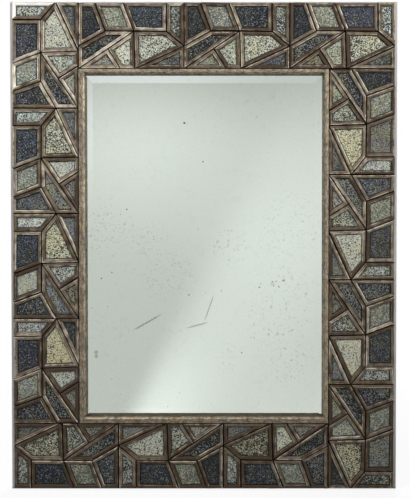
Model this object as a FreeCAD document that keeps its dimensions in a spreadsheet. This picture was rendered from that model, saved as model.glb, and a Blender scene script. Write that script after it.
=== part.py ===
import FreeCAD, Part
import os
import Sketcher

# Wall mirror with a pinwheel frame. Fourteen modules of nine rimmed glass tiles follow each other
# round a bevelled plate. A boarded carcass carries the tiles, and two rings hang it on the wall.
# Origin: the middle of the wall plane. +Z is up, +X is right seen from the front, -Y is the front.

TALL_MODULE_COUNT = 4
WIDE_MODULE_COUNT = 3

# Driving sizes in millimetres, with what each one measures
SIZES = [
    ("module_length", 213, "one module of nine tiles, along its run"),
    ("band_width", 134, "tiled band, from its outer edge to the inner fillet"),
    ("tile_gap", 1.8, "open joint between neighbouring tiles"),
    ("rim_width", 7, "face of a tile's rim"),
    ("rim_height", 6.5, "rim, from the board to its face"),
    ("rim_outer_chamfer", 1.4, "eased outer edge of a rim"),
    ("rim_inner_chamfer", 1.8, "eased inner edge of a rim"),
    ("pane_thickness", 4, "glass pane inside a rim"),
    ("pane_clearance", 0.2, "room round a pane in its rim"),
    ("side_lip", 5, "board showing past the tiles at the sides"),
    ("end_lip", 2, "board showing past the tiles at the top and bottom"),
    ("board_thickness", 18, "carcass board"),
    ("board_chamfer", 1, "eased outer front edge of the carcass"),
    ("rebate_width", 10, "step in the boards' backs for the back panel"),
    ("dowel_diameter", 10, "corner dowel"),
    ("dowel_length", 60, "corner dowel"),
    ("dowel_spacing", 80, "between the two dowels of a corner"),
    ("dowel_clearance", 0.1, "room round a dowel"),
    ("dowel_end_clearance", 0.5, "room past each end of a dowel"),
    ("fillet_width", 13.5, "inner fillet seen from the front"),
    ("fillet_proud", 8, "fillet's face in front of the boards"),
    ("fillet_chamfer", 1.5, "eased front edges of the fillet"),
    ("plate_thickness", 5, "mirror plate at its middle"),
    ("plate_edge", 3, "mirror plate at its bevelled edge"),
    ("bevel_width", 25, "mirror plate's bevel"),
    ("plate_clearance", 2.5, "room round the plate in the carcass"),
    ("plate_setback", 4, "plate's face behind the boards' face"),
    ("glass_clearance", 0.2, "between the fillet and the bevel at the sight edge"),
    ("packing_width", 15, "packing strip behind the plate"),
    ("panel_thickness", 3, "back panel"),
    ("panel_clearance", 0.5, "room round the back panel in its rebate"),
    ("panel_screw", 3, "back panel screw's shank"),
    ("panel_screw_head", 6.4, "back panel screw's head across"),
    ("panel_screw_rise", 1.8, "back panel screw's head height"),
    ("panel_screw_length", 14, "back panel screw under its head"),
    ("panel_screw_clearance", 0.3, "room round a screw in the back panel"),
    ("hanger_drop", 230, "ring's pivot below the carcass's top"),
    ("strap_width", 16, "hanger strap"),
    ("strap_sheet", 1.2, "steel sheet that the strap is folded from"),
    ("strap_end", 8, "strap past its last screw"),
    ("ring_wire", 3.5, "hanger ring's wire"),
    ("ring_width", 28, "hanger ring between the middles of its wire"),
    ("ring_bend", 5, "hanger ring's corner bend"),
    ("ring_clearance", 0.3, "room round the wire in the strap's loop"),
    ("ring_seat", 0.6, "between the resting ring and its strap"),
    ("hanger_screw", 4, "hanger screw's shank"),
    ("hanger_screw_head", 8, "hanger screw's head across"),
    ("hanger_screw_rise", 2.4, "hanger screw's head height"),
    ("hanger_screw_length", 14, "hanger screw under its head"),
    ("hanger_screw_pitch", 15, "between the two screws of a strap"),
    ("hanger_screw_margin", 1.5, "between the ring's reach and the first screw's head"),
    ("hanger_screw_clearance", 0.2, "room round a screw in the strap"),
    ("pilot_clearance", 0.05, "room round a screw in the boards"),
    ("pilot_end_clearance", 0.5, "room past a screw's tip"),
    ("bumper_height", 8, "rubber bumper, wall to carcass"),
    ("bumper_diameter", 20, "rubber bumper at the carcass"),
    ("bumper_tip", 17, "rubber bumper at the wall"),
    ("bumper_inset", 30, "bumper's middle from the carcass's edges"),
    ("cut_overrun", 5, "how far a cut runs past what it cuts"),
]

# Sizes and places worked out from the driving sizes
WORKED = [
    ("field_width", f"Sizes.band_width + {WIDE_MODULE_COUNT} * Sizes.module_length"),
    ("field_height", f"Sizes.band_width + {TALL_MODULE_COUNT} * Sizes.module_length"),
    ("opening_width", "field_width - 2 * Sizes.band_width"),
    ("opening_height", "field_height - 2 * Sizes.band_width"),
    ("outer_width", "field_width + 2 * Sizes.side_lip"),
    ("outer_height", "field_height + 2 * Sizes.end_lip"),
    ("back_y", "-Sizes.bumper_height"),
    ("front_y", "back_y - Sizes.board_thickness"),
    ("rim_inset", "Sizes.tile_gap / 2"),
    ("seat_inset", "rim_inset + Sizes.rim_width"),
    ("pane_inset", "seat_inset + Sizes.pane_clearance"),
    ("dowel_z", "opening_height / 4 + outer_height / 4"),
    ("dowel_bore", "Sizes.dowel_diameter / 2 + Sizes.dowel_clearance"),
    ("dowel_depth", "Sizes.dowel_length / 2 + Sizes.dowel_end_clearance"),
    ("plate_width", "opening_width - 2 * Sizes.plate_clearance"),
    ("plate_height", "opening_height - 2 * Sizes.plate_clearance"),
    ("bevel_drop", "Sizes.plate_thickness - Sizes.plate_edge"),
    ("plate_front_y", "front_y + Sizes.plate_setback"),
    ("plate_back_y", "plate_front_y + Sizes.plate_thickness"),
    ("sight_cover", "Sizes.fillet_width - Sizes.plate_clearance"),
    ("sight_drop", "bevel_drop * (1 - sight_cover / Sizes.bevel_width)"),
    ("fillet_back_y", "plate_front_y + sight_drop - Sizes.glass_clearance"),
    ("fillet_depth", "fillet_back_y - front_y + Sizes.fillet_proud"),
    ("packing_depth", "back_y - Sizes.panel_thickness - plate_back_y"),
    ("panel_width", "opening_width + 2 * (Sizes.rebate_width - Sizes.panel_clearance)"),
    ("panel_height", "opening_height + 2 * (Sizes.rebate_width - Sizes.panel_clearance)"),
    ("panel_screw_x", "opening_width / 2 + Sizes.rebate_width / 2"),
    ("panel_screw_z", "opening_height / 2 + Sizes.rebate_width / 2"),
    ("panel_pilot", "Sizes.panel_screw / 2 + Sizes.pilot_clearance"),
    ("panel_pilot_depth", "Sizes.panel_screw_length + Sizes.pilot_end_clearance"),
    ("panel_hole", "Sizes.panel_screw / 2 + Sizes.panel_screw_clearance"),
    ("strap_thickness", "2 * Sizes.strap_sheet"),
    ("loop_bore", "Sizes.ring_wire / 2 + Sizes.ring_clearance"),
    ("loop_radius", "loop_bore + Sizes.strap_sheet"),
    ("ring_drop", "Sizes.ring_bend + Sizes.ring_width / 2"),
    ("ring_stand", "strap_thickness + Sizes.ring_seat + Sizes.ring_wire / 2 - loop_radius"),
    ("ring_lean", "asin(ring_stand / ring_drop)"),
    ("hanger_x", "opening_width / 4 + outer_width / 4"),
    ("hanger_y", "back_y + loop_radius"),
    ("hanger_z", "outer_height / 2 - Sizes.hanger_drop"),
    ("ring_reach", "ring_drop + Sizes.ring_wire / 2"),
    ("first_screw", "ring_reach + Sizes.hanger_screw_margin + Sizes.hanger_screw_head / 2"),
    ("second_screw", "first_screw + Sizes.hanger_screw_pitch"),
    ("strap_length", "second_screw + Sizes.strap_end"),
    ("strap_hole", "Sizes.hanger_screw / 2 + Sizes.hanger_screw_clearance"),
    ("hanger_pilot", "Sizes.hanger_screw / 2 + Sizes.pilot_clearance"),
    ("hanger_pilot_depth", "Sizes.hanger_screw_length - strap_thickness + Sizes.pilot_end_clearance"),
    ("bumper_x", "outer_width / 2 - Sizes.bumper_inset"),
    ("bumper_z", "outer_height / 2 - Sizes.bumper_inset"),
]

# Where the tiles of a module meet: share of the module's length from its start, then share of the
# band's width from its outer edge
CORNER_SHARES = {
    "outer_start": (0, 0),
    "outer_first": (0.168, 0),
    "outer_second": (0.578, 0),
    "outer_third": (0.845, 0),
    "outer_end": (1, 0),
    "start_fork": (0, 0.66),
    "end_fork": (1, 0.66),
    "middle_first": (0.166, 0.44),
    "middle_second": (0.474, 0.433),
    "middle_third": (0.746, 0.432),
    "inner_fork": (0.72, 0.698),
    "inner_start": (0, 1),
    "inner_first": (0.463, 1),
    "inner_second": (0.6, 1),
    "inner_end": (1, 1),
}

# The nine tiles of a module: the shade of the pane and the corners in turn
TILES = {
    "a": ("silver", ["outer_start", "outer_first", "middle_first", "start_fork"]),
    "b": ("navy", ["outer_first", "outer_second", "middle_second", "middle_first"]),
    "c": ("silver", ["outer_second", "outer_third", "middle_third", "middle_second"]),
    "d": ("slate", ["outer_third", "outer_end", "end_fork", "middle_third"]),
    "e": ("cream", ["start_fork", "middle_first", "middle_second", "inner_first"]),
    "f": ("slate", ["start_fork", "inner_first", "inner_start"]),
    "g": ("silver", ["middle_second", "inner_fork", "inner_second", "inner_first"]),
    "h": ("slate", ["inner_fork", "inner_end", "inner_second"]),
    "i": ("navy", ["middle_second", "middle_third", "end_fork", "inner_end"]),
}
SHADES = ["navy", "slate", "silver", "cream"]

# The four runs of the pinwheel: modules, turn seen from the front, side and end that it starts
# from, and its way along X and Z
RUNS = {
    "bottom": (WIDE_MODULE_COUNT, 0, -1, -1, 1, 0),
    "right": (TALL_MODULE_COUNT, 90, 1, -1, 0, 1),
    "top": (WIDE_MODULE_COUNT, 180, 1, 1, -1, 0),
    "left": (TALL_MODULE_COUNT, 270, -1, 1, 0, -1),
}

# Back panel screws: share of the opening from its middle, along each side
SCREW_X_SHARES = [-0.42, 0, 0.42]
SCREW_Z_SHARES = [-0.43, -0.215, 0, 0.215, 0.43]

# A screw's tip as a share of its length, its crown of its head's height, its recess of its head
TIP_SHARE = 0.25
CROWN_SHARE = 0.4
RECESS_LENGTH_SHARE = 0.6
RECESS_WIDTH_SHARE = 0.14
RECESS_DEPTH_SHARE = 0.55

SIDES = {"left": -1, "right": 1}
ENDS = {"bottom": -1, "top": 1}
TOLERANCE = 1e-6

ALONG_X = FreeCAD.Rotation(FreeCAD.Vector(0, 1, 0), 90)
TO_FRONT = FreeCAD.Rotation(FreeCAD.Vector(1, 0, 0), 90)
TO_WALL = FreeCAD.Rotation(FreeCAD.Vector(1, 0, 0), -90)
HALF_TURN = FreeCAD.Rotation(FreeCAD.Vector(0, 0, 1), 180)
UPRIGHT = FreeCAD.Rotation()

doc = FreeCAD.newDocument("FramedMirror")
nodes = []


def fill_sheets():
    """Make the sheet of driving sizes and the sheet of worked-out sizes."""
    sizes = doc.addObject("Spreadsheet::Sheet", "Sizes")
    for row, (name, size, meaning) in enumerate(SIZES, start=1):
        sizes.set(f"A{row}", str(size))
        sizes.setAlias(f"A{row}", name)
        sizes.set(f"B{row}", meaning)
    worked = doc.addObject("Spreadsheet::Sheet", "Worked")
    for row, (name, formula) in enumerate(WORKED, start=1):
        worked.set(f"A{row}", "=" + formula)
        worked.setAlias(f"A{row}", name)
    doc.recompute()


def value(formula):
    """Return what a formula comes to with the present sizes."""
    return float(doc.Worked.evalExpression(formula))


def bind(thing, **formulas):
    """Bind properties to formulas; a double underscore in a name stands for a dot."""
    for name, formula in formulas.items():
        thing.setExpression(name.replace("__", "."), formula)


def place(thing, x="0", y="0", z="0", turn=UPRIGHT):
    """Turn an object and bind its place to three formulas."""
    thing.Placement = FreeCAD.Placement(FreeCAD.Vector(), turn)
    bind(thing, Placement__Base__x=x, Placement__Base__y=y, Placement__Base__z=z)
    return thing


def as_node(thing):
    """List an object as a sub-part that is written out under its label."""
    nodes.append(thing)
    return thing


def group(name, members):
    """Gather objects as one compound."""
    compound = doc.addObject("Part::Compound", name)
    compound.Links = members
    return compound


def copy_of(master, name, x="0", y="0", z="0", turn=UPRIGHT):
    """Set a copy of a master piece at a place."""
    return place(group(name, [master]), x, y, z, turn)


def box(name, length, width, height, x, y, z):
    """Make a box from formulas for its sizes and its lowest corner."""
    made = doc.addObject("Part::Box", name)
    bind(made, Length=length, Width=width, Height=height)
    return place(made, x, y, z)


def cylinder(name, radius, height, x="0", y="0", z="0", turn=UPRIGHT):
    """Make a cylinder from formulas."""
    made = doc.addObject("Part::Cylinder", name)
    bind(made, Radius=radius, Height=height)
    return place(made, x, y, z, turn)


def fuse(name, members):
    """Fuse several shapes into one solid."""
    made = doc.addObject("Part::MultiFuse", name)
    made.Shapes = members
    made.Refine = True
    return made


def cut(name, base, tool):
    """Cut a tool out of a base shape."""
    made = doc.addObject("Part::Cut", name)
    made.Base = base
    made.Tool = tool
    return made


def sketch_on(body, name, role="XZ_Plane", offset=None):
    """Start a sketch on one of a body's own planes, moved along its normal where asked."""
    sketch = body.newObject("Sketcher::SketchObject", name)
    plane = next(feature for feature in body.Origin.OriginFeatures if feature.Role == role)
    sketch.AttachmentSupport = (plane, "")
    sketch.MapMode = "FlatFace"
    if offset:
        bind(sketch, AttachmentOffset__Base__z=offset)
    return sketch


def dimension(sketch, constraint, formula):
    """Add a dimension that follows a formula."""
    index = sketch.addConstraint(constraint)
    sketch.setExpression(f"Constraints[{index}]", formula)


def pin(sketch, element, point, x, y):
    """Hold a point of an element at formulas for its distances from the sketch's origin."""
    for kind, axis, formula in (("DistanceX", -2, x), ("DistanceY", -1, y)):
        distance = value(formula)
        if abs(distance) < TOLERANCE:
            sketch.addConstraint(Sketcher.Constraint("PointOnObject", element, point, axis))
        elif distance > 0:
            dimension(sketch, Sketcher.Constraint(kind, -1, 1, element, point, distance), formula)
        else:
            mirrored = Sketcher.Constraint(kind, element, point, -1, 1, -distance)
            dimension(sketch, mirrored, f"-({formula})")


def chain(sketch, points, construction=False):
    """Draw a closed chain of lines through points and return the number of its first line."""
    first = sketch.GeometryCount
    count = len(points)
    for index, point in enumerate(points):
        line = Part.LineSegment(point, points[(index + 1) % count])
        sketch.addGeometry(line, construction)
    for index in range(count):
        following = first + (index + 1) % count
        sketch.addConstraint(Sketcher.Constraint("Coincident", first + index, 2, following, 1))
    return first


def outline(sketch, corners, construction=False):
    """Draw a closed outline through corners given as pairs of formulas."""
    points = [FreeCAD.Vector(value(x), value(y), 0) for x, y in corners]
    first = chain(sketch, points, construction)
    for index, (x, y) in enumerate(corners):
        pin(sketch, first + index, 1, x, y)
    return points


def inset_points(points, inset):
    """Return the corners of a convex outline moved inwards by an inset."""
    count = len(points)
    moved = []
    for index, point in enumerate(points):
        before = (point - points[index - 1]).normalize()
        after = (points[(index + 1) % count] - point).normalize()
        inwards = after - before
        spread = before.cross(after).z
        moved.append(point + inwards * (inset / spread))
    return moved


def inset_outline(sketch, points, inset):
    """Draw an outline whose sides lie an inset inside the sketch's first outline."""
    count = len(points)
    first = chain(sketch, inset_points(points, value(inset)))
    for index in range(count):
        sketch.addConstraint(Sketcher.Constraint("Parallel", index, first + index))
        gap = Sketcher.Constraint("Distance", first + index, 1, index, value(inset))
        dimension(sketch, gap, inset)


def pad(body, sketch, length):
    """Raise a sketch into a solid."""
    feature = body.newObject("PartDesign::Pad", sketch.Name + "_pad")
    feature.Profile = sketch
    bind(feature, Length=length)
    doc.recompute()
    return feature


def pocket(body, sketch, depth, along_normal):
    """Sink a sketch into a solid, and make sure that it took something away."""
    before = body.Shape.Volume
    feature = body.newObject("PartDesign::Pocket", sketch.Name + "_pocket")
    feature.Profile = sketch
    feature.Reversed = along_normal
    bind(feature, Length=depth)
    doc.recompute()
    if body.Shape.Volume > before - TOLERANCE:
        raise RuntimeError(f"{feature.Name} cuts nothing")
    return feature


def drill(body, name, places, radius, depth, role="XZ_Plane", offset=None, along_normal=True):
    """Sink round holes at pairs of formulas on one of a body's planes."""
    sketch = sketch_on(body, name, role, offset)
    for index, (x, y) in enumerate(places):
        centre = FreeCAD.Vector(value(x), value(y), 0)
        sketch.addGeometry(Part.Circle(centre, FreeCAD.Vector(0, 0, 1), value(radius)), False)
        dimension(sketch, Sketcher.Constraint("Radius", index, value(radius)), radius)
        pin(sketch, index, 3, x, y)
    return pocket(body, sketch, depth, along_normal)


def chamfer(body, feature, name, size, chosen):
    """Ease the edges of a feature that a test chooses."""
    edges = [f"Edge{number}" for number, edge in enumerate(feature.Shape.Edges, start=1) if chosen(edge)]
    eased = body.newObject("PartDesign::Chamfer", name)
    eased.Base = (feature, edges)
    bind(eased, Size=size)
    doc.recompute()
    return eased


def lies_at(edge, x=None, y=None, z=None):
    """Tell whether an edge lies wholly at the given coordinates."""
    box_round = edge.BoundBox
    spans = [(x, box_round.XMin, box_round.XMax), (y, box_round.YMin, box_round.YMax)]
    spans.append((z, box_round.ZMin, box_round.ZMax))
    wanted = [(at, low, high) for at, low, high in spans if at is not None]
    return all(abs(low - at) < TOLERANCE and abs(high - at) < TOLERANCE for at, low, high in wanted)


def rectangle(left, right, low, high):
    """Return the corners of an upright rectangle from formulas for its sides."""
    return [(left, low), (right, low), (right, high), (left, high)]


def panel_screw_places(x_sides=(-1, 1), z_sides=(-1, 1)):
    """Return where the back panel's screws stand, on the chosen sides."""
    places = []
    for side in x_sides:
        for share in SCREW_Z_SHARES:
            places.append((f"{side} * Worked.panel_screw_x", f"{share} * Worked.opening_height"))
    for side in z_sides:
        for share in SCREW_X_SHARES:
            places.append((f"{share} * Worked.opening_width", f"{side} * Worked.panel_screw_z"))
    return places


def dowel_heights(ends):
    """Return the heights of the dowels at the chosen ends of the frame."""
    heights = []
    for end in ends:
        for step in (-1, 1):
            heights.append(f"{end} * Worked.dowel_z + {step} * Sizes.dowel_spacing / 2")
    return heights


def dowel_places(ends):
    """Return where the dowels cross a joint's plane."""
    return [("-Sizes.board_thickness / 2", height) for height in dowel_heights(ends)]


def hanger_screw_places(side):
    """Return where the screws of one strap stand."""
    x = f"{side} * Worked.hanger_x"
    return [(x, "Worked.hanger_z - Worked.first_screw"), (x, "Worked.hanger_z - Worked.second_screw")]


def board(name, corners):
    """Make a carcass board from its outline, with its outer front edges eased."""
    body = as_node(doc.addObject("PartDesign::Body", name))
    place(body, y="Worked.back_y")
    sketch = sketch_on(body, name + "_outline")
    outline(sketch, corners)
    feature = pad(body, sketch, "Sizes.board_thickness")
    face = -value("Sizes.board_thickness")
    side = value("Worked.outer_width") / 2
    end = value("Worked.outer_height") / 2

    def outer_front(edge):
        if not lies_at(edge, y=face):
            return False
        at_side = lies_at(edge, x=side) or lies_at(edge, x=-side)
        return at_side or lies_at(edge, z=end) or lies_at(edge, z=-end)

    chamfer(body, feature, name + "_edge", "Sizes.board_chamfer", outer_front)
    return body


def rebate(body, name, corners):
    """Step a board's back for the back panel."""
    sketch = sketch_on(body, name)
    outline(sketch, corners)
    pocket(body, sketch, "Sizes.panel_thickness", True)


def stile(name, side):
    """Make an upright of the carcass: rebated, bored for dowels and drilled for screws."""
    inner = f"{side} * Worked.opening_width / 2"
    outer = f"{side} * Worked.outer_width / 2"
    low = "-Worked.outer_height / 2"
    high = "Worked.outer_height / 2"
    body = board(name, rectangle(inner, outer, low, high))
    step = f"{side} * (Worked.opening_width / 2 + Sizes.rebate_width)"
    reach = "(Worked.opening_height / 2 + Sizes.rebate_width)"
    over = f"{side} * (Worked.opening_width / 2 - Sizes.cut_overrun)"
    rebate(body, name + "_rebate", rectangle(over, step, f"-{reach}", reach))
    drill(body, name + "_bores", dowel_places((-1, 1)), "Worked.dowel_bore", "Worked.dowel_depth",
          "YZ_Plane", inner, side > 0)
    drill(body, name + "_panel_pilots", panel_screw_places((side,), ()), "Worked.panel_pilot",
          "Worked.panel_pilot_depth")
    drill(body, name + "_hanger_pilots", hanger_screw_places(side), "Worked.hanger_pilot",
          "Worked.hanger_pilot_depth")


def rail(name, end):
    """Make a level board of the carcass between the stiles."""
    inner = f"{end} * Worked.opening_height / 2"
    outer = f"{end} * Worked.outer_height / 2"
    left = "-Worked.opening_width / 2"
    right = "Worked.opening_width / 2"
    body = board(name, rectangle(left, right, inner, outer))
    step = f"{end} * (Worked.opening_height / 2 + Sizes.rebate_width)"
    over = f"{end} * (Worked.opening_height / 2 - Sizes.cut_overrun)"
    reach = "(Worked.opening_width / 2 + Sizes.cut_overrun)"
    rebate(body, name + "_rebate", rectangle(f"-{reach}", reach, over, step))
    for side_name, side in SIDES.items():
        drill(body, f"{name}_bores_{side_name}", dowel_places((end,)), "Worked.dowel_bore",
              "Worked.dowel_depth", "YZ_Plane", f"{side} * Worked.opening_width / 2", side < 0)
    drill(body, name + "_panel_pilots", panel_screw_places((), (end,)), "Worked.panel_pilot",
          "Worked.panel_pilot_depth")


def corner_dowels():
    """Make the eight dowels, two to a corner, half in a stile and half in a rail."""
    master = cylinder("dowel", "Sizes.dowel_diameter / 2", "Sizes.dowel_length")
    y = "Worked.back_y - Sizes.board_thickness / 2"
    dowels = []
    for side_name, side in SIDES.items():
        x = f"{side} * Worked.opening_width / 2 - Sizes.dowel_length / 2"
        for number, z in enumerate(dowel_heights((-1, 1)), start=1):
            dowels.append(copy_of(master, f"dowel_{side_name}_{number}", x, y, z, ALONG_X))
    as_node(group("corner_dowels", dowels))


def tile_sketch(body, corner_names):
    """Start a tile's sketch with the cell that it shares joints round, and return the cell's corners."""
    sketch = sketch_on(body, body.Name + "_outline")
    corners = []
    for name in corner_names:
        along_share, across_share = CORNER_SHARES[name]
        corners.append((f"{along_share} * Sizes.module_length", f"{across_share} * Sizes.band_width"))
    return sketch, outline(sketch, corners, construction=True)


def tile_rim(letter, corner_names):
    """Make the rim of one tile: a polygonal ring with both front edges eased."""
    body = doc.addObject("PartDesign::Body", f"rim_{letter}")
    sketch, cell = tile_sketch(body, corner_names)
    inset_outline(sketch, cell, "Worked.rim_inset")
    inset_outline(sketch, cell, "Worked.seat_inset")
    raised = pad(body, sketch, "Sizes.rim_height")
    face_y = -value("Sizes.rim_height")

    def front_edges(feature, outer):
        front = max(feature.Shape.Faces, key=lambda face: face.Area if lies_at(face, y=face_y) else 0)
        wires = [wire for wire in front.Wires if wire.isSame(front.OuterWire) == outer]
        return [edge for wire in wires for edge in wire.Edges]

    outer_edges = front_edges(raised, True)
    eased = chamfer(body, raised, f"rim_{letter}_outer", "Sizes.rim_outer_chamfer",
                    lambda edge: any(edge.isSame(other) for other in outer_edges))
    inner_edges = front_edges(eased, False)
    chamfer(body, eased, f"rim_{letter}_inner", "Sizes.rim_inner_chamfer",
            lambda edge: any(edge.isSame(other) for other in inner_edges))
    return body


def tile_pane(letter, corner_names):
    """Make the glass pane that lies inside one tile's rim."""
    body = doc.addObject("PartDesign::Body", f"pane_{letter}")
    sketch, cell = tile_sketch(body, corner_names)
    inset_outline(sketch, cell, "Worked.pane_inset")
    pad(body, sketch, "Sizes.pane_thickness")
    return body


def tiled_runs():
    """Set the modules of tiles round the frame: rims by module, panes by run and shade."""
    rims = [tile_rim(letter, corners) for letter, (_, corners) in TILES.items()]
    panes = {shade: [] for shade in SHADES}
    for letter, (shade, corners) in TILES.items():
        panes[shade].append(tile_pane(letter, corners))
    for run, (modules, angle, side, end, along_x, along_z) in RUNS.items():
        turn = FreeCAD.Rotation(FreeCAD.Vector(0, -1, 0), angle)
        spots = []
        for step in range(modules):
            x = f"{side} * Worked.field_width / 2 + {step * along_x} * Sizes.module_length"
            z = f"{end} * Worked.field_height / 2 + {step * along_z} * Sizes.module_length"
            spots.append((x, "Worked.front_y", z))
        for number, (x, y, z) in enumerate(spots, start=1):
            as_node(place(group(f"rims_{run}_{number}", rims), x, y, z, turn))
        for shade in SHADES:
            sets = []
            for number, (x, y, z) in enumerate(spots, start=1):
                laid = group(f"{shade}_of_{run}_{number}", panes[shade])
                sets.append(place(laid, x, y, z, turn))
            as_node(group(f"panes_{shade}_{run}", sets))


def fillet_strip(name, corners, long_edges):
    """Make one mitred strip of the inner fillet with its two long front edges eased."""
    body = as_node(doc.addObject("PartDesign::Body", name))
    place(body, y="Worked.fillet_back_y")
    sketch = sketch_on(body, name + "_outline")
    outline(sketch, corners)
    feature = pad(body, sketch, "Worked.fillet_depth")
    face = -value("Worked.fillet_depth")
    chamfer(body, feature, name + "_edges", "Sizes.fillet_chamfer",
            lambda edge: lies_at(edge, y=face) and any(lies_at(edge, **spot) for spot in long_edges))


def fillet_strips():
    """Make the four strips that frame the sight of the mirror."""
    outer_x = "Worked.opening_width / 2"
    outer_z = "Worked.opening_height / 2"
    inner_x = f"({outer_x} - Sizes.fillet_width)"
    inner_z = f"({outer_z} - Sizes.fillet_width)"
    for name, side in SIDES.items():
        corners = [(f"{side} * {outer_x}", f"-{outer_z}"), (f"{side} * {outer_x}", outer_z),
                   (f"{side} * {inner_x}", inner_z), (f"{side} * {inner_x}", f"-{inner_z}")]
        spots = [{"x": side * value(outer_x)}, {"x": side * value(inner_x)}]
        fillet_strip(f"fillet_{name}", corners, spots)
    for name, end in ENDS.items():
        corners = [(f"-{outer_x}", f"{end} * {outer_z}"), (outer_x, f"{end} * {outer_z}"),
                   (inner_x, f"{end} * {inner_z}"), (f"-{inner_x}", f"{end} * {inner_z}")]
        spots = [{"z": end * value(outer_z)}, {"z": end * value(inner_z)}]
        fillet_strip(f"fillet_{name}", corners, spots)


def mirror_plate():
    """Make the silvered plate: a flat slab with a bevelled front."""
    slab = box("plate_slab", "Worked.plate_width", "Sizes.plate_edge", "Worked.plate_height",
               "-Worked.plate_width / 2", "Worked.plate_back_y - Sizes.plate_edge",
               "-Worked.plate_height / 2")
    bevel = doc.addObject("Part::Wedge", "plate_bevel")
    bind(bevel, Xmin="-Worked.plate_width / 2", Xmax="Worked.plate_width / 2",
         Zmin="-Worked.plate_height / 2", Zmax="Worked.plate_height / 2",
         X2min="Sizes.bevel_width - Worked.plate_width / 2",
         X2max="Worked.plate_width / 2 - Sizes.bevel_width",
         Z2min="Sizes.bevel_width - Worked.plate_height / 2",
         Z2max="Worked.plate_height / 2 - Sizes.bevel_width",
         Ymin="0", Ymax="Worked.bevel_drop")
    place(bevel, y="Worked.plate_back_y - Sizes.plate_edge", turn=HALF_TURN)
    as_node(fuse("mirror_plate", [slab, bevel]))


def packing_strips():
    """Make the strips that press the plate forward, between it and the back panel."""
    y = "Worked.plate_back_y"
    depth = "Worked.packing_depth"
    low = "-Worked.plate_height / 2"
    for name, side in SIDES.items():
        x = f"{side} * (Worked.plate_width / 2 - Sizes.packing_width / 2) - Sizes.packing_width / 2"
        as_node(box(f"packing_{name}", "Sizes.packing_width", depth, "Worked.plate_height", x, y, low))
    between = "Worked.plate_width - 2 * Sizes.packing_width"
    left = "Sizes.packing_width - Worked.plate_width / 2"
    for name, end in ENDS.items():
        z = f"{end} * (Worked.plate_height / 2 - Sizes.packing_width / 2) - Sizes.packing_width / 2"
        as_node(box(f"packing_{name}", between, depth, "Sizes.packing_width", left, y, z))


def back_panel():
    """Make the panel that closes the back, drilled for its screws."""
    body = as_node(doc.addObject("PartDesign::Body", "back_panel"))
    place(body, y="Worked.back_y")
    sketch = sketch_on(body, "back_panel_outline")
    outline(sketch, rectangle("-Worked.panel_width / 2", "Worked.panel_width / 2",
                              "-Worked.panel_height / 2", "Worked.panel_height / 2"))
    pad(body, sketch, "Sizes.panel_thickness")
    drill(body, "back_panel_holes", panel_screw_places(), "Worked.panel_hole", "Sizes.panel_thickness")


def screw(name, prefix):
    """Make a pan-head screw with a pointed tip and a cross recess; its head's seat is at the origin."""
    shank = f"Sizes.{prefix} / 2"
    head = f"Sizes.{prefix}_head / 2"
    rise = f"Sizes.{prefix}_rise"
    length = f"Sizes.{prefix}_length"
    crown = f"{rise} * {CROWN_SHARE}"
    body = doc.addObject("PartDesign::Body", name)
    sketch = sketch_on(body, name + "_profile")
    outline(sketch, [("0", f"-{length}"), (shank, f"-{length} * (1 - {TIP_SHARE})"), (shank, "0"),
                     (head, "0"), (head, f"{rise} - {crown}"), (f"{head} - {crown}", rise), ("0", rise)])
    turned = body.newObject("PartDesign::Revolution", name + "_turned")
    turned.Profile = sketch
    turned.ReferenceAxis = (sketch, ["V_Axis"])
    doc.recompute()
    sizes = [f"2 * {head} * {RECESS_LENGTH_SHARE}", f"2 * {head} * {RECESS_WIDTH_SHARE}"]
    for number, (length_x, length_y) in enumerate([sizes, sizes[::-1]], start=1):
        recess = body.newObject("PartDesign::SubtractiveBox", f"{name}_recess_{number}")
        bind(recess, Length=length_x, Width=length_y, Height=rise)
        place(recess, f"-({length_x}) / 2", f"-({length_y}) / 2", f"{rise} * (1 - {RECESS_DEPTH_SHARE})")
    doc.recompute()
    return body


def back_panel_screws():
    """Set the screws that hold the back panel in its rebate."""
    master = screw("panel_fixing", "panel_screw")
    screws = []
    for number, (x, z) in enumerate(panel_screw_places(), start=1):
        screws.append(copy_of(master, f"panel_fixing_{number}", x, "Worked.back_y", z, TO_WALL))
    as_node(group("back_panel_screws", screws))


def hanger_strap():
    """Make the folded strap: a plate with a rounded end, a loop for the ring and two screw holes."""
    half = "Sizes.strap_width / 2"
    thick = "Worked.strap_thickness"
    back = "-Worked.loop_radius"
    plate = box("strap_plate", "Sizes.strap_width", thick, f"Worked.strap_length - {half}",
                f"-{half}", back, f"{half} - Worked.strap_length")
    tongue = cylinder("strap_tongue", half, thick, y=back, z=f"{half} - Worked.strap_length", turn=TO_WALL)
    loop = cylinder("strap_loop", "Worked.loop_radius", "Sizes.strap_width", x=f"-{half}", turn=ALONG_X)
    tools = [cylinder("strap_bore", "Worked.loop_bore", "Sizes.strap_width + 2 * Sizes.cut_overrun",
                      x=f"-{half} - Sizes.cut_overrun", turn=ALONG_X)]
    for name in ("first_screw", "second_screw"):
        tools.append(cylinder("strap_" + name, "Worked.strap_hole", f"{thick} + 2 * Sizes.cut_overrun",
                              y=f"{back} - Sizes.cut_overrun", z=f"-Worked.{name}", turn=TO_WALL))
    return cut("strap", fuse("strap_blank", [plate, tongue, loop]), fuse("strap_tools", tools))


def ring_arc(name, radius, sweep, x, z, turn):
    """Make one bent stretch of the ring's wire."""
    arc = doc.addObject("Part::Torus", name)
    bind(arc, Radius1=radius, Radius2="Sizes.ring_wire / 2")
    arc.Angle3 = sweep
    return place(arc, x, "0", z, turn)


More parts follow.
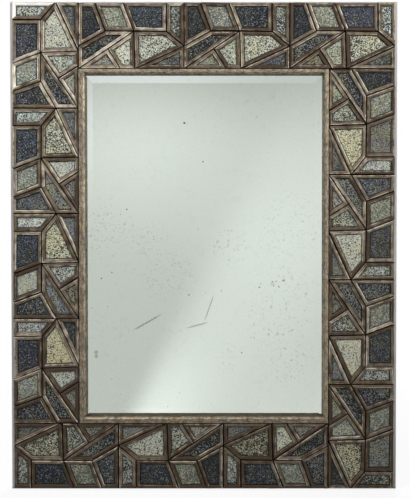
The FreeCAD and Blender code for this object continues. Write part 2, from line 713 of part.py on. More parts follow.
def hanger_ring():
    """Make the D-shaped ring: a bar through the strap's loop, two bends and a half circle."""
    bar = "(Sizes.ring_width / 2 - Sizes.ring_bend)"
    pieces = [cylinder("ring_bar", "Sizes.ring_wire / 2", f"2 * {bar}", x=f"-{bar}", turn=ALONG_X)]
    about = FreeCAD.Vector(0, -1, 0)
    low = "-Sizes.ring_bend"
    for name, x, sweep, start, radius in (("ring_bend_right", bar, 90, 0, "Sizes.ring_bend"),
                                          ("ring_bend_left", f"-{bar}", 90, 90, "Sizes.ring_bend"),
                                          ("ring_bow", "0", 180, 180, "Sizes.ring_width / 2")):
        turn = FreeCAD.Rotation(about, start).multiply(TO_FRONT)
        pieces.append(ring_arc(name, radius, sweep, x, low, turn))
    return fuse("ring", pieces)


def hangers():
    """Set a strap and a ring on each stile's back, and the screws that hold the straps."""
    strap = hanger_strap()
    ring = hanger_ring()
    master = screw("hanger_fixing", "hanger_screw")
    screws = []
    for name, side in SIDES.items():
        x = f"{side} * Worked.hanger_x"
        as_node(copy_of(strap, f"hanger_strap_{name}", x, "Worked.hanger_y", "Worked.hanger_z"))
        hung = as_node(copy_of(ring, f"hanger_ring_{name}", x, "Worked.hanger_y", "Worked.hanger_z",
                               FreeCAD.Rotation(FreeCAD.Vector(1, 0, 0), value("Worked.ring_lean"))))
        bind(hung, Placement__Rotation__Angle="Worked.ring_lean")
        for number, (screw_x, screw_z) in enumerate(hanger_screw_places(side), start=1):
            screws.append(copy_of(master, f"hanger_fixing_{name}_{number}", screw_x,
                                  "Worked.back_y + Worked.strap_thickness", screw_z, TO_WALL))
    as_node(group("hanger_screws", screws))


def wall_bumpers():
    """Make the four rubber bumpers that keep the frame's back off the wall."""
    master = doc.addObject("Part::Cone", "bumper")
    bind(master, Radius1="Sizes.bumper_diameter / 2", Radius2="Sizes.bumper_tip / 2",
         Height="Sizes.bumper_height")
    bumpers = []
    for side_name, side in SIDES.items():
        for end_name, end in ENDS.items():
            bumpers.append(copy_of(master, f"bumper_{end_name}_{side_name}", f"{side} * Worked.bumper_x",
                                   "Worked.back_y", f"{end} * Worked.bumper_z", TO_WALL))
    as_node(group("wall_bumpers", bumpers))


def write_parts():
    """Check every object, then write each sub-part to its own file."""
    doc.recompute()
    failed = [thing.Name for thing in doc.Objects if {"Invalid", "Error"} & set(thing.State)]
    if failed:
        raise RuntimeError(f"these objects failed: {failed}")
    for node in nodes:
        if node.Shape.isNull() or not node.Shape.isValid() or not node.Shape.Solids:
            raise RuntimeError(f"{node.Label} has no sound shape")
    os.makedirs("parts", exist_ok=True)
    for node in nodes:
        node.Shape.exportStep(f"parts/{node.Label}.step")
    print(f"{len(nodes)} sub-parts, {sum(len(node.Shape.Solids) for node in nodes)} solids")


fill_sheets()
for side_label, side_sign in SIDES.items():
    stile(f"stile_{side_label}", side_sign)
for end_label, end_sign in ENDS.items():
    rail(f"rail_{end_label}", end_sign)
corner_dowels()
tiled_runs()
fillet_strips()
mirror_plate()
packing_strips()
back_panel()
back_panel_screws()
hangers()
wall_bumpers()
write_parts()
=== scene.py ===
"""Looks of the framed wall mirror and the studio that it is seen in, in the frame of the CAD model."""

import logging
import math
import random
from collections.abc import Callable, Sequence
from dataclasses import dataclass, field
from enum import Enum
from typing import Union

import bpy
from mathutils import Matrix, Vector


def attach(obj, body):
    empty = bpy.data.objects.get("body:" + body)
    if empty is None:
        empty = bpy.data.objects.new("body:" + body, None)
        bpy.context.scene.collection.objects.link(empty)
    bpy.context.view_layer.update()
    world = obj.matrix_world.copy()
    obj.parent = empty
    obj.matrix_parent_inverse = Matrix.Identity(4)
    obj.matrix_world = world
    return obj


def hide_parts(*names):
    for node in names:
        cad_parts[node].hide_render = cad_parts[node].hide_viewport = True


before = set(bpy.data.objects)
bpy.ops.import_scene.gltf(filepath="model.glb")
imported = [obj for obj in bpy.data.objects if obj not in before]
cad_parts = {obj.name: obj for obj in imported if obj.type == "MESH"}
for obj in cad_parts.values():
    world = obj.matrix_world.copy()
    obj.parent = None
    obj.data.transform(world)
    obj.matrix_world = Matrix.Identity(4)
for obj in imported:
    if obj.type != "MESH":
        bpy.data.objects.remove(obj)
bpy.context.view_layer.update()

LOG = logging.getLogger("mirror")
MM = 0.001
Point = tuple[float, float]
Points = tuple[Point, ...]
Place = tuple[float, float, float]
Colour = tuple[float, float, float, float]
Value = Union["Wire", float, Sequence[float]]
WHITE: Colour = (1.0, 1.0, 1.0, 1.0)
BLACK: Colour = (0.0, 0.0, 0.0, 1.0)
SQUARE: Points = ((-1.0, -1.0), (1.0, -1.0), (1.0, 1.0), (-1.0, 1.0))


class Run(Enum):
    """The four runs of tiles, each named for the side of the frame that it covers."""

    BOTTOM = "bottom"
    RIGHT = "right"
    TOP = "top"
    LEFT = "left"


class Shade(Enum):
    """The four shades of the speckled panes."""

    NAVY = "navy"
    SLATE = "slate"
    SILVER = "silver"
    CREAM = "cream"


class Hue(Enum):
    """How much warmer or cooler a pane is than its kind."""

    WARM = 1.1
    COOL = -1.3


class Cast(Enum):
    """How far a pane is set apart from its kind, darker below 0 and paler above."""

    DEEP = -2.6
    DARK = -1.3
    PALE = 1.3
    BRIGHT = 2.6


class Draw(Enum):
    """What a tile's seeded draws are for, with the strides that keep them apart."""

    SETTING = (1000, 17, 3)
    RIM = (2000, 19, 5)
    PANE = (3000, 23, 7)


def tint(red: int, green: int, blue: int) -> Colour:
    """Turns a screen colour, each part from 0 to 255, into the linear colour that a shader takes."""
    shares = (red / 255, green / 255, blue / 255)
    return (*(s / 12.92 if s <= 0.04045 else ((s + 0.055) / 1.055) ** 2.4 for s in shares), 1.0)


def sums(operation: str, swapped: bool = False) -> Callable[["Wire", Value], "Wire"]:
    """Makes an operator that adds a Math node.

    Args:
        operation: the node's operation.
        swapped: whether the other value comes first, as in 1 - mask.

    Returns:
        The operator.
    """

    def worked(wire: "Wire", other: Value) -> "Wire":
        """Adds the node for two values."""
        return wire.bench.math(operation, *((other, wire) if swapped else (wire, other)))

    return worked


class Wire:
    """A socket that takes part in Python sums, where | gives the larger and & the smaller of two values."""

    __add__, __radd__ = sums("ADD"), sums("ADD", swapped=True)
    __sub__, __rsub__ = sums("SUBTRACT"), sums("SUBTRACT", swapped=True)
    __mul__, __rmul__ = sums("MULTIPLY"), sums("MULTIPLY", swapped=True)
    __or__, __ror__ = sums("MAXIMUM"), sums("MAXIMUM", swapped=True)
    __and__, __rand__ = sums("MINIMUM"), sums("MINIMUM", swapped=True)

    def __init__(self, bench: "Bench", socket: bpy.types.NodeSocket) -> None:
        """Keeps the socket and the bench that its node stands on."""
        self.bench = bench
        self.socket = socket

    def __abs__(self) -> "Wire":
        """Drops the sign of the value."""
        return self.bench.math("ABSOLUTE", self)


class Made:
    """A finished node, whose outputs are read as wires."""

    def __init__(self, bench: "Bench", node: bpy.types.Node) -> None:
        """Keeps the node and its bench."""
        self.bench = bench
        self.node = node

    def __getitem__(self, output: Union[str, int]) -> Wire:
        """Gives one output of the node as a wire."""
        return Wire(self.bench, self.node.outputs[output])


class Bench:
    """Makes and joins the nodes of one material or world."""

    def __init__(self, tree: bpy.types.NodeTree) -> None:
        """Starts from an empty node tree."""
        self.tree = tree
        self.tree.nodes.clear()

    def node(self, kind: str, settings: dict | None = None, inputs: dict | None = None) -> Made:
        """Makes one node.

        Args:
            kind: the node's type.
            settings: the node's own settings, which are set before its sockets.
            inputs: a number, a colour or a wire for each socket, by name or index.

        Returns:
            The node, ready to be read.
        """
        made = self.tree.nodes.new(kind)
        for name, setting in (settings or {}).items():
            setattr(made, name, setting)
        for name, given in (inputs or {}).items():
            if isinstance(given, Wire):
                self.tree.links.new(given.socket, made.inputs[name])
            else:
                made.inputs[name].default_value = given
        return Made(self, made)

    def math(self, operation: str, *values: Value) -> Wire:
        """Makes a Math node for the values."""
        return self.node("ShaderNodeMath", {"operation": operation}, dict(enumerate(values)))[0]

    def vector(self, operation: str, *values: Value) -> Made:
        """Makes a Vector Math node for the vectors."""
        return self.node("ShaderNodeVectorMath", {"operation": operation}, dict(enumerate(values)))

    def blend(self, share: Value, first: Value, second: Value) -> Wire:
        """Mixes two colours, with this share of the second."""
        settings = {"data_type": "RGBA", "clamp_factor": True}
        return self.node("ShaderNodeMix", settings, {0: share, 6: first, 7: second})[2]

    def rise(self, value: Value, low: float, high: float) -> Wire:
        """Gives a mask that rises smoothly from 0 at low to 1 at high, or falls where low is the larger."""
        inputs = {"Value": value, "From Min": low, "From Max": high}
        return self.node("ShaderNodeMapRange", {"interpolation_type": "SMOOTHSTEP"}, inputs)["Result"]

    def noise(self, place: Wire, scale: float, detail: float = 2.0, rough: float = 0.5,
              bend: float = 0.0) -> Wire:
        """Gives cloudy noise from 0 to 1, with scale waves to the metre and pulled about by bend."""
        inputs = {"Vector": place, "Scale": scale, "Detail": detail, "Roughness": rough, "Distortion": bend}
        return self.node("ShaderNodeTexNoise", {}, inputs)["Fac"]

    def motley(self, place: Wire, scale: float) -> Wire:
        """Gives noise with a value of its own for each part of a colour or vector."""
        inputs = {"Vector": place, "Scale": scale, "Detail": 1.0}
        return self.node("ShaderNodeTexNoise", {}, inputs)["Color"]

    def stray(self, colour: Wire, place: Wire, scale: float, reach: float) -> Wire:
        """Lets a colour stray a little from place to place, as foil under glass and rubbed leaf do.

        Args:
            colour: the colour.
            place: the vector that the changes are read at.
            scale: changes to the metre.
            reach: how far the colour strays, as a share, with blue straying furthest.

        Returns:
            The strayed colour.
        """
        reaches = (reach * 0.35, reach * 0.2, reach)
        floors = tuple(1 - part / 2 for part in reaches)
        share = self.vector("MULTIPLY_ADD", self.motley(place, scale), reaches, floors)[0]
        return self.vector("MULTIPLY", colour, share)[0]

    def place(self) -> Wire:
        """Gives the place on the object, in metres."""
        return self.node("ShaderNodeTexCoord")["Object"]

    def axes(self, vector: Wire) -> tuple[Wire, Wire, Wire]:
        """Splits a vector into its three values."""
        split = self.node("ShaderNodeSeparateXYZ", {}, {0: vector})
        return split[0], split[1], split[2]

    def join(self, x: Value, y: Value, z: Value) -> Wire:
        """Joins three values into a vector."""
        return self.node("ShaderNodeCombineXYZ", {}, {0: x, 1: y, 2: z})[0]

    def kept(self, name: str, output: str) -> Wire:
        """Reads a value that the mesh keeps."""
        return self.node("ShaderNodeAttribute", {"attribute_name": name})[output]

    def bump(self, height: Wire, strength: float, depth: float) -> Wire:
        """Turns a height into a normal."""
        inputs = {"Height": height, "Strength": strength, "Distance": depth}
        return self.node("ShaderNodeBump", {}, inputs)[0]


def new_material(name: str) -> tuple[bpy.types.Material, Bench]:
    """Makes an empty material.

    Args:
        name: the material's name.

    Returns:
        The material and the bench that its nodes go on.
    """
    material = bpy.data.materials.new(name)
    material.use_nodes = True
    return material, Bench(material.node_tree)


@dataclass(frozen=True)
class Finish:
    """A finish of one Principled shader, whose sockets each kind of finish works out."""

    name: str

    def sockets(self, bench: Bench) -> dict[str, Value]:
        """Works out the shader's sockets, which is left to each kind of finish."""
        raise NotImplementedError

    def material(self) -> bpy.types.Material:
        """Builds the finish.

        Returns:
            The finished material.
        """
        material, bench = new_material(self.name)
        shader = bench.node("ShaderNodeBsdfPrincipled", {}, self.sockets(bench))[0]
        bench.node("ShaderNodeOutputMaterial", {}, {"Surface": shader})
        return material


@dataclass(frozen=True)
class LeafFinish(Finish):
    """Worn bronze leaf, laid in strips over a brown ground."""

    width: float
    foot_top: float
    foot_end: float
    # Where the painted highlight line runs along an arris, and how wide it is.
    line_in: float = 1.7 * MM
    line_out: float = 1.4 * MM
    line_reach: Point = (1.1 * MM, 0.3 * MM)
    hollow_in: Point = (8.8 * MM, 10.2 * MM)
    streaks: Point = (30.0, 640.0)
    lap_pitch: float = 0.0
    mottle: float = 1.4
    edge_shade: float = 0.4 * MM
    ground: Colour = tint(38, 25, 11)
    clay: Colour = tint(73, 60, 48)
    leaf: Colour = tint(114, 104, 93)
    gold: Colour = tint(119, 106, 88)
    shine: Colour = tint(198, 187, 168)
    # Near-white colour of the painted highlights.
    glint: Colour = tint(248, 243, 232)

    def sockets(self, bench: Bench) -> dict[str, Value]:
        """Builds the leaf with streaks along each strip, a painted highlight on one arris, bare patches,
        and painted shade at the foot, the edges and the hollow.

        Args:
            bench: where the nodes go.

        Returns:
            The shader's sockets.
        """
        place = bench.place()
        along, across, height = bench.axes(bench.kept("strip", "Vector"))
        tone = bench.kept("tone", "Fac")
        lean = bench.kept("warmth", "Fac")
        woven = bench.join(along * self.streaks[0], across * self.streaks[1], height * 160)
        streak = bench.noise(woven, 1.0, 4.0, 0.6, 0.3)
        patch = bench.noise(place, 60.0, 4.0, 0.62)
        grain = bench.noise(place, 800.0, 2.0, 0.6)
        # Painted highlight: a bright line along the outer or the inner arris, picked by the lean, as where
        # light catches that edge.
        outer = bench.rise(abs(across - self.line_out), *self.line_reach) * bench.rise(lean, 0.0, 0.6)
        crest = self.width - bench.rise(lean, -0.1, -0.3) * self.line_in
        inner = bench.rise(abs(across - crest), *self.line_reach) * bench.rise(lean, 0.0, -0.6)
        line = (outer | inner) * bench.rise(patch, 0.34, 0.58)
        hue = bench.noise(place, 30.0)
        body = bench.blend(bench.rise(hue + (streak - 0.5) * 0.6, 0.42, 0.62), self.leaf, self.gold)
        level = (streak - 0.5) * 1.6 + (patch - 0.5) * self.mottle + tone * 0.44 + line * 0.75 - 0.02
        colour = bench.blend(bench.rise(level, -0.42, 0.1), self.clay, body)
        colour = bench.blend(bench.rise(level, 0.12, 0.75), colour, self.shine)
        # Painted highlight: the lightest leaf turns near white, as a lamp's glint.
        colour = bench.blend(bench.rise(level, 0.9, 1.5), colour, self.glint)
        rub = bench.rise((patch - 0.5) * 0.8 + (streak - 0.5) * 0.7 + (grain - 0.5) * 0.4, -0.1, -0.24)
        colour = bench.blend(rub * 0.7, colour, self.ground)
        if self.lap_pitch > 0:
            lap = bench.math("FRACT", along * (1 / self.lap_pitch) + bench.noise(place, 45.0) * 1.4)
            colour = bench.blend(bench.rise(abs(lap - 0.5), 0.06, 0.02) * 0.5, colour, self.ground)
        # Painted shade: the outer arris by the gap between tiles, the inner edge by the pane, the hollow of
        # a fillet strip and the low foot of each strip darken toward the ground colour, where light does
        # not reach.
        arris = bench.rise(across, self.edge_shade, self.edge_shade * 0.4)
        shy = bench.rise(across, self.width - 0.8 * MM, self.width - 0.3 * MM) * 0.45
        deep = 0.55 + bench.rise(lean, -0.15, -0.35) * 0.45
        foot = bench.rise(height, self.foot_top, self.foot_end) * deep
        hollow = bench.rise(across, *self.hollow_in) * bench.rise(lean, -0.25, 0.0) * 0.35
        painted_shade = arris * 0.75 | shy | hollow | foot * 0.95
        colour = bench.stray(bench.blend(painted_shade, colour, self.ground), place, 50.0, 0.35)
        return {
            "Base Color": colour,
            "Metallic": 0.36 - rub * 0.2 - painted_shade * 0.34,
            "Roughness": 0.38 + grain * 0.16 + rub * 0.2 + painted_shade * 0.2,
            "Specular IOR Level": 0.2,
            "Normal": bench.bump(streak * 0.7 + grain * 0.3, 0.35, 0.5 * MM),
        }


@dataclass(frozen=True)
class PaneFinish(Finish):
    """Speckled glass: ragged flakes of foil on a darker ground under a gloss face."""

    dark: Colour
    light: Colour
    warm: Colour
    spark: Colour
    cut: float
    grain: float
    shift: float
    edge: float = 0.08
    pull: float = 0.09
    tear: float = 1.2 * MM
    honey: Colour = (1.0, 0.965, 0.76, 1.0)

    def sockets(self, bench: Bench) -> dict[str, Value]:
        """Builds the flakes, whose cover, colour and contrast follow each pane's own values, with painted
        glints on a few bright flakes and painted shade along each pane's edge.

        Args:
            bench: where the nodes go.

        Returns:
            The shader's sockets.
        """
        place = bench.place()
        tone = bench.kept("tone", "Fac")
        warmth = bench.kept("warmth", "Fac")
        fleck = bench.kept("fleck", "Fac")
        margin = bench.axes(bench.kept("strip", "Vector"))[1]
        pulled = bench.vector("MULTIPLY_ADD", bench.motley(place, 800.0), (self.tear,) * 3, place)[0]
        flakes = bench.node("ShaderNodeTexVoronoi", {}, {"Vector": pulled, "Scale": self.grain})
        chance, hue, _ = bench.axes(flakes["Color"])
        drift = bench.noise(place, self.grain * 0.62)
        cloud = bench.noise(place, 34.0)
        cover = (tone | -2.4) & 2.0
        level = (chance - 0.5) * 0.85 + (drift - 0.5) * 0.9 + (cloud - 0.5) * 0.45 + cover * self.pull
        shown = bench.rise(level, self.cut - self.edge, self.cut + self.edge)
        shown = shown * fleck + (1 - fleck) * 0.5
        warmed = bench.rise(warmth + (cloud - 0.5) * 3.0 + (hue - 0.5) * 0.8, -1.0, 1.0)
        light = bench.blend(warmed, self.light, self.warm)
        honey = tuple(part * share for part, share in zip(self.spark, self.honey))
        spark = bench.blend(warmed * 0.8, self.spark, honey)
        dim = bench.rise(tone, -0.9, -3.6) * 0.5
        lit = bench.rise(tone, 0.9, 4.2) * 0.7 | (fleck - 1) * 1.2
        light = bench.blend(lit, bench.blend(dim, light, self.dark), spark)
        colour = bench.blend(shown, self.dark, light)
        # Painted glints: a few of the brightest flakes are painted at the spark colour, as if catching
        # light.
        colour = bench.blend(bench.rise(chance, 0.9, 0.97) * shown * (0.8 - dim), colour, spark)
        colour = bench.stray(colour, place, 45.0, self.shift)
        # Painted shade: each pane darkens toward its edge, where the rim around it shades it.
        colour = bench.blend(bench.rise(margin, 2.4 * MM, 0.2 * MM) * 0.75, colour, self.dark)
        return {
            "Base Color": colour,
            "Roughness": 0.5 - shown * 0.14,
            "Metallic": shown * 0.2,
            "Specular IOR Level": 0.12,
            "Coat Weight": 0.1 + cloud * 0.2,
            "Coat Roughness": 0.1,
            "Coat IOR": 1.5,
            "Normal": bench.bump(chance * 0.5 + drift * 0.5, 0.3, 0.3 * MM),
        }


@dataclass(frozen=True)
class Spot:
    """A round mark, by its centre and radius in millimetres and its depth."""

    x: float
    z: float
    radius: float
    depth: float

    def mask(self, bench: Bench, place: Wire, core: float) -> Wire:
        """Masks the mark, which is at its full depth inside this share of its radius."""
        away = bench.vector("DISTANCE", place, (self.x * MM, 0.0, self.z * MM))["Value"]
        return bench.rise(away, self.radius * MM, self.radius * core * MM) * self.depth


@dataclass(frozen=True)
class Scratch:
    """A thin rubbed line in the silvering, by its ends and width in millimetres and its depth."""

    start: Point
    end: Point
    width: float
    depth: float


@dataclass(frozen=True)
class SilverFinish(Finish):
    """Old silvering behind glass, with specks, foxing and scratches."""

    silver: Colour
    stain: Colour
    black: Colour
    specks: tuple[Spot, ...]
    foxing: tuple[Spot, ...]
    dust: tuple[Spot, ...]
    scratches: tuple[Scratch, ...]

    def spots(self, bench: Bench, place: Wire, spots: Sequence[Spot]) -> Wire:
        """Adds up round marks.

        Args:
            bench: where the nodes go.
            place: the place on the plate.
            spots: the marks.

        Returns:
            A mask that is 1 in the deepest marks.
        """
        mask: Value = 0.0
        for spot in spots:
            mask = spot.mask(bench, place, core=0.35) | mask
        return mask

    def lines(self, bench: Bench, flat: Wire, ragged: Wire) -> Wire:
        """Adds up scratches.

        Args:
            bench: where the nodes go.
            flat: the place on the plate with no depth.
            ragged: noise that breaks the lines up.

        Returns:
            A mask that is 1 in the deepest line.
        """
        mask: Value = 0.0
        for line in self.scratches:
            start, end = (Vector((x, 0.0, z)) * MM for x, z in (line.start, line.end))
            run = end - start
            ahead = run.normalized()
            offset = bench.vector("SUBTRACT", flat, tuple(start + run / 2))[0]
            along = abs(bench.vector("DOT_PRODUCT", offset, tuple(ahead))["Value"])
            across = bench.vector("DOT_PRODUCT", offset, (-ahead.z, 0.0, ahead.x))["Value"]
            across = abs(across + (ragged - 0.5) * 2 * MM)
            inside = bench.rise(along, run.length / 2, run.length * 0.2)
            mark = bench.rise(across, line.width * MM, line.width * 0.3 * MM) * inside
            mask = mark * bench.rise(ragged, 0.2, 0.46) * line.depth | mask
        return mask

    def sockets(self, bench: Bench) -> dict[str, Value]:
        """Builds the silvering and its blemishes.

        Args:
            bench: where the nodes go.

        Returns:
            The shader's sockets.
        """
        place = bench.place()
        x, _, z = bench.axes(place)
        flat = bench.join(x, 0.0, z)
        haze = bench.noise(flat, 9.0, 3.0, 0.6)
        ragged = bench.noise(flat, 260.0, 3.0, 0.6)
        sway = bench.join((ragged - 0.5) * 2 * MM, 0.0, (ragged - 0.5) * 1.5 * MM)
        pulled = bench.vector("ADD", flat, sway)[0]
        black = self.spots(bench, pulled, self.specks)
        stain = self.spots(bench, pulled, self.foxing) * bench.rise(ragged, 0.25, 0.5)
        stain = stain | self.lines(bench, flat, ragged)
        inputs = {"Vector": bench.join(x, z, 0.0), "Scale": 72.0}
        dots = bench.node("ShaderNodeTexVoronoi", {"voronoi_dimensions": "2D"}, inputs)
        pick, size, depth = bench.axes(dots["Color"])
        strewn = bench.rise(dots["Distance"] - size * 0.09, 0.07, 0.0) * bench.rise(pick, 0.5, 0.56)
        worn = self.spots(bench, flat, self.dust) * 0.85 + 0.15
        strewn = strewn * (0.08 + depth * 0.3) * worn
        fine = bench.rise(bench.noise(flat, 170.0, 4.0, 0.66, 0.6), 0.57, 0.66) * worn
        smear = bench.rise(bench.noise(flat, 60.0, 4.0, 0.6, 1.2), 0.5, 0.75) * bench.rise(haze, 0.35, 0.6)
        colour = bench.blend(smear * 0.09 | fine * 0.42 | stain * 0.8, self.silver, self.stain)
        colour = bench.blend(black | strewn, colour, self.black)
        marks = black | stain | strewn
        return {
            "Base Color": colour,
            "Metallic": 1.0 - marks * 0.6,
            "Roughness": 0.025 + haze * 0.02 + marks * 0.4,
            "Normal": bench.bump(bench.noise(flat, 7.0, 1.0), 0.02, 1 * MM),
        }


@dataclass(frozen=True)
class BoardFinish(Finish):
    """Painted board, with a near-black bed under the tiles that also paints the shade in the gaps between
    them.
    """

    paint: Colour
    scuff: Colour
    lower_right_pale: Colour
    bed: Colour
    strokes: Place
    half_width: float
    half_height: float
    bed_y: float

    def sockets(self, bench: Bench) -> dict[str, Value]:
        """Builds brushed paint, scuffs, a paler front toward the lower right, a darker bottom edge, and the
        bed, whose near-black also paints the shade in the gaps between tiles.

        Args:
            bench: where the nodes go.

        Returns:
            The shader's sockets.
        """
        place = bench.place()
        x, y, z = bench.axes(place)
        brush = bench.noise(bench.vector("MULTIPLY", place, self.strokes)[0], 12.0, 4.0, 0.6)
        cloud = bench.noise(place, 24.0, 4.0, 0.6)
        scuffed = bench.rise(cloud * 0.7 + brush * 0.4, 0.62, 0.72)
        colour = bench.blend(scuffed * 0.5 | bench.rise(brush, 0.45, 0.75) * 0.3, self.paint, self.scuff)
        out_x = bench.rise(abs(x), self.half_width, self.half_width - 0.8 * MM)
        out_z = bench.rise(abs(z), self.half_height, self.half_height - 0.8 * MM)
        front = bench.rise(y, self.bed_y + 0.6 * MM, self.bed_y + 0.2 * MM)
        # Darkens the last millimetre of the front at the bottom to the bed colour.
        worn = bench.rise(z, 1 * MM - self.half_height, -self.half_height) * 0.8
        under = (out_x & out_z | worn) * front
        # Paints the front of the board paler toward the lower right.
        colour = bench.blend(bench.rise(x * 0.5 - z, 0.0, 0.4) * front, colour, self.lower_right_pale)
        # Near-black bed under the tiles, partly a dark bed and partly painted shade in the gaps between the
        # tiles.
        colour = bench.blend(under, colour, self.bed)
        return {
            "Base Color": colour,
            "Roughness": 0.52 + brush * 0.16 + under * 0.25,
            "Specular IOR Level": 0.12,
            "Normal": bench.bump(brush, 0.18, 0.3 * MM),
        }


@dataclass(frozen=True)
class GrainFinish(Finish):
    """Plain wood or pressed board, with grain along one axis."""

    pale: Colour
    dark: Colour
    stretch: Place
    speckle: float = 0.2

    def sockets(self, bench: Bench) -> dict[str, Value]:
        """Builds the grain and its flecks.

        Args:
            bench: where the nodes go.

        Returns:
            The shader's sockets.
        """
        place = bench.place()
        grain = bench.noise(bench.vector("MULTIPLY", place, self.stretch)[0], 1.0, 5.0, 0.65, 0.6)
        fleck = bench.noise(place, 800.0, 3.0, 0.7)
        shown = bench.rise(grain * (1 - self.speckle) + fleck * self.speckle, 0.3, 0.7)
        return {
            "Base Color": bench.blend(shown, self.pale, self.dark),
            "Roughness": 0.6 + fleck * 0.25,
            "Normal": bench.bump(fleck * 0.6 + grain * 0.4, 0.25, 0.3 * MM),
        }


@dataclass(frozen=True)
class SteelFinish(Finish):
    """Zinc-plated steel with handling marks."""

    bright: Colour
    dull: Colour
    roughness: float

    def sockets(self, bench: Bench) -> dict[str, Value]:
        """Builds the plating.

        Args:
            bench: where the nodes go.

        Returns:
            The shader's sockets.
        """
        place = bench.place()
        bloom = bench.noise(place, 170.0, 4.0, 0.65)
        rub = bench.noise(bench.vector("MULTIPLY", place, (900.0, 900.0, 120.0))[0], 1.0, 3.0, 0.6)
        return {
            "Base Color": bench.blend(bench.rise(bloom, 0.35, 0.68), self.bright, self.dull),
            "Metallic": 1.0,
            "Roughness": self.roughness + bloom * 0.2,
            "Normal": bench.bump(rub, 0.12, 0.1 * MM),
        }


@dataclass(frozen=True)
class RubberFinish(Finish):
    """Dull moulded rubber."""

    body: Colour
    dust: Colour

    def sockets(self, bench: Bench) -> dict[str, Value]:
        """Builds the rubber with dust in its pores.

        Args:
            bench: where the nodes go.

        Returns:
            The shader's sockets.
        """
        pores = bench.noise(bench.place(), 1400.0, 3.0, 0.6)
        return {
            "Base Color": bench.blend(bench.rise(pores, 0.5, 0.75) * 0.5, self.body, self.dust),
            "Roughness": 0.62 + pores * 0.2,
            "Normal": bench.bump(pores, 0.2, 0.2 * MM),
        }


class Ripple:
    """A smooth seeded waver along a length."""

    def __init__(self, dice: random.Random, size: float, wave: float) -> None:
        """Draws three waves.

        Args:
            dice: the seeded draws.
            size: the tallest the waver gets, about.
            wave: the longest wave.
        """
        self.parts = []
        for order in (1, 2, 3):
            tall = size * dice.uniform(0.35, 0.7) / order
            turns = math.tau * order / wave * dice.uniform(0.75, 1.25)
            self.parts.append((tall, turns, dice.uniform(0, math.tau)))

    def __call__(self, place: float) -> float:
        """Gives the waver at a place."""
        return sum(tall * math.sin(turns * place + phase) for tall, turns, phase in self.parts)


def inset(outline: Sequence[Point], distance: float) -> list[Point]:
    """Moves every side of a convex outline inward.

    Args:
        outline: corners, counter-clockwise as seen from the front.
        distance: how far the sides move in.

    Returns:
        The new corners.
    """
    moved = []
    count = len(outline)
    for index in range(count):
        before, here, after = outline[index - 1], outline[index], outline[(index + 1) % count]
        first = Vector((here[0] - before[0], here[1] - before[1])).normalized()
        second = Vector((after[0] - here[0], after[1] - here[1])).normalized()
        bisector = Vector((-first.y - second.y, first.x + second.x))
        reach = distance * 2 / bisector.length_squared
        moved.append((here[0] + bisector.x * reach, here[1] + bisector.y * reach))
    return moved


def middle(outline: Sequence[Point]) -> Point:
    """Gives the mean of the corners."""
    return sum(p[0] for p in outline) / len(outline), sum(p[1] for p in outline) / len(outline)


def stand(name: str, data: bpy.types.ID) -> bpy.types.Object:
    """Stands a new object in the scene.

    Args:
        name: the object's name.
        data: its mesh, lamp or camera.

    Returns:
        The new object.
    """
    made = bpy.data.objects.new(name, data)
    bpy.context.scene.collection.objects.link(made)
    return made


@dataclass
class Shell:
    """The points, faces and kept values of one piece while it is made."""

    points: list[Place] = field(default_factory=list)
    faces: list[tuple[int, ...]] = field(default_factory=list)
    strips: list[Place] = field(default_factory=list)
    tones: list[float] = field(default_factory=list)
    warmths: list[float] = field(default_factory=list)
    flecks: list[float] = field(default_factory=list)

    def point(self, x: float, y: float, z: float) -> int:
        """Adds a point and gives its number."""
        self.points.append((x, y, z))
        return len(self.points) - 1

    def face(self, corners: Sequence[int], strip: Sequence[Place], tone: float, warmth: float,
             fleck: float = 1.0) -> None:
        """Adds a face.

        Args:
            corners: the numbers of its points.
            strip: for each corner, the place along, in from the edge and above the bed.
            tone: how light the face is.
            warmth: how warm a pane is, or which arris of a rim or fillet strip gets a painted highlight.
            fleck: how strongly the flakes of a pane stand out.
        """
        self.faces.append(tuple(corners))
        self.strips.extend(strip)
        self.tones.append(tone)
        self.warmths.append(warmth)
        self.flecks.append(fleck)

    def piece(self, name: str, material: bpy.types.Material, crease: float) -> bpy.types.Object:
        """Makes the object.

        Args:
            name: the piece's name.
            material: its finish.
            crease: edges sharper than this angle, in degrees, stay crisp.

        Returns:
            The new object.
        """
        mesh = bpy.data.meshes.new(name)
        mesh.from_pydata(self.points, [], self.faces)
        strip = mesh.attributes.new("strip", "FLOAT_VECTOR", "CORNER")
        strip.data.foreach_set("vector", [value for corner in self.strips for value in corner])
        for label, values in (("tone", self.tones), ("warmth", self.warmths), ("fleck", self.flecks)):
            mesh.attributes.new(label, "FLOAT", "FACE").data.foreach_set("value", values)
        mesh.materials.append(material)
        mesh.shade_smooth()
        mesh.set_sharp_from_angle(angle=math.radians(crease))
        return stand(name, mesh)


def hand_over(piece: bpy.types.Object, node: str) -> None:
    """Parents a piece to the frame and hides the CAD node that it stands for.

    Args:
        piece: the new object.
        node: the CAD node that the piece stands for.
    """
    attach(piece, "frame")
    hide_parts(node)
    LOG.info("%s: %d faces for %s", piece.name, len(piece.data.polygons), node)


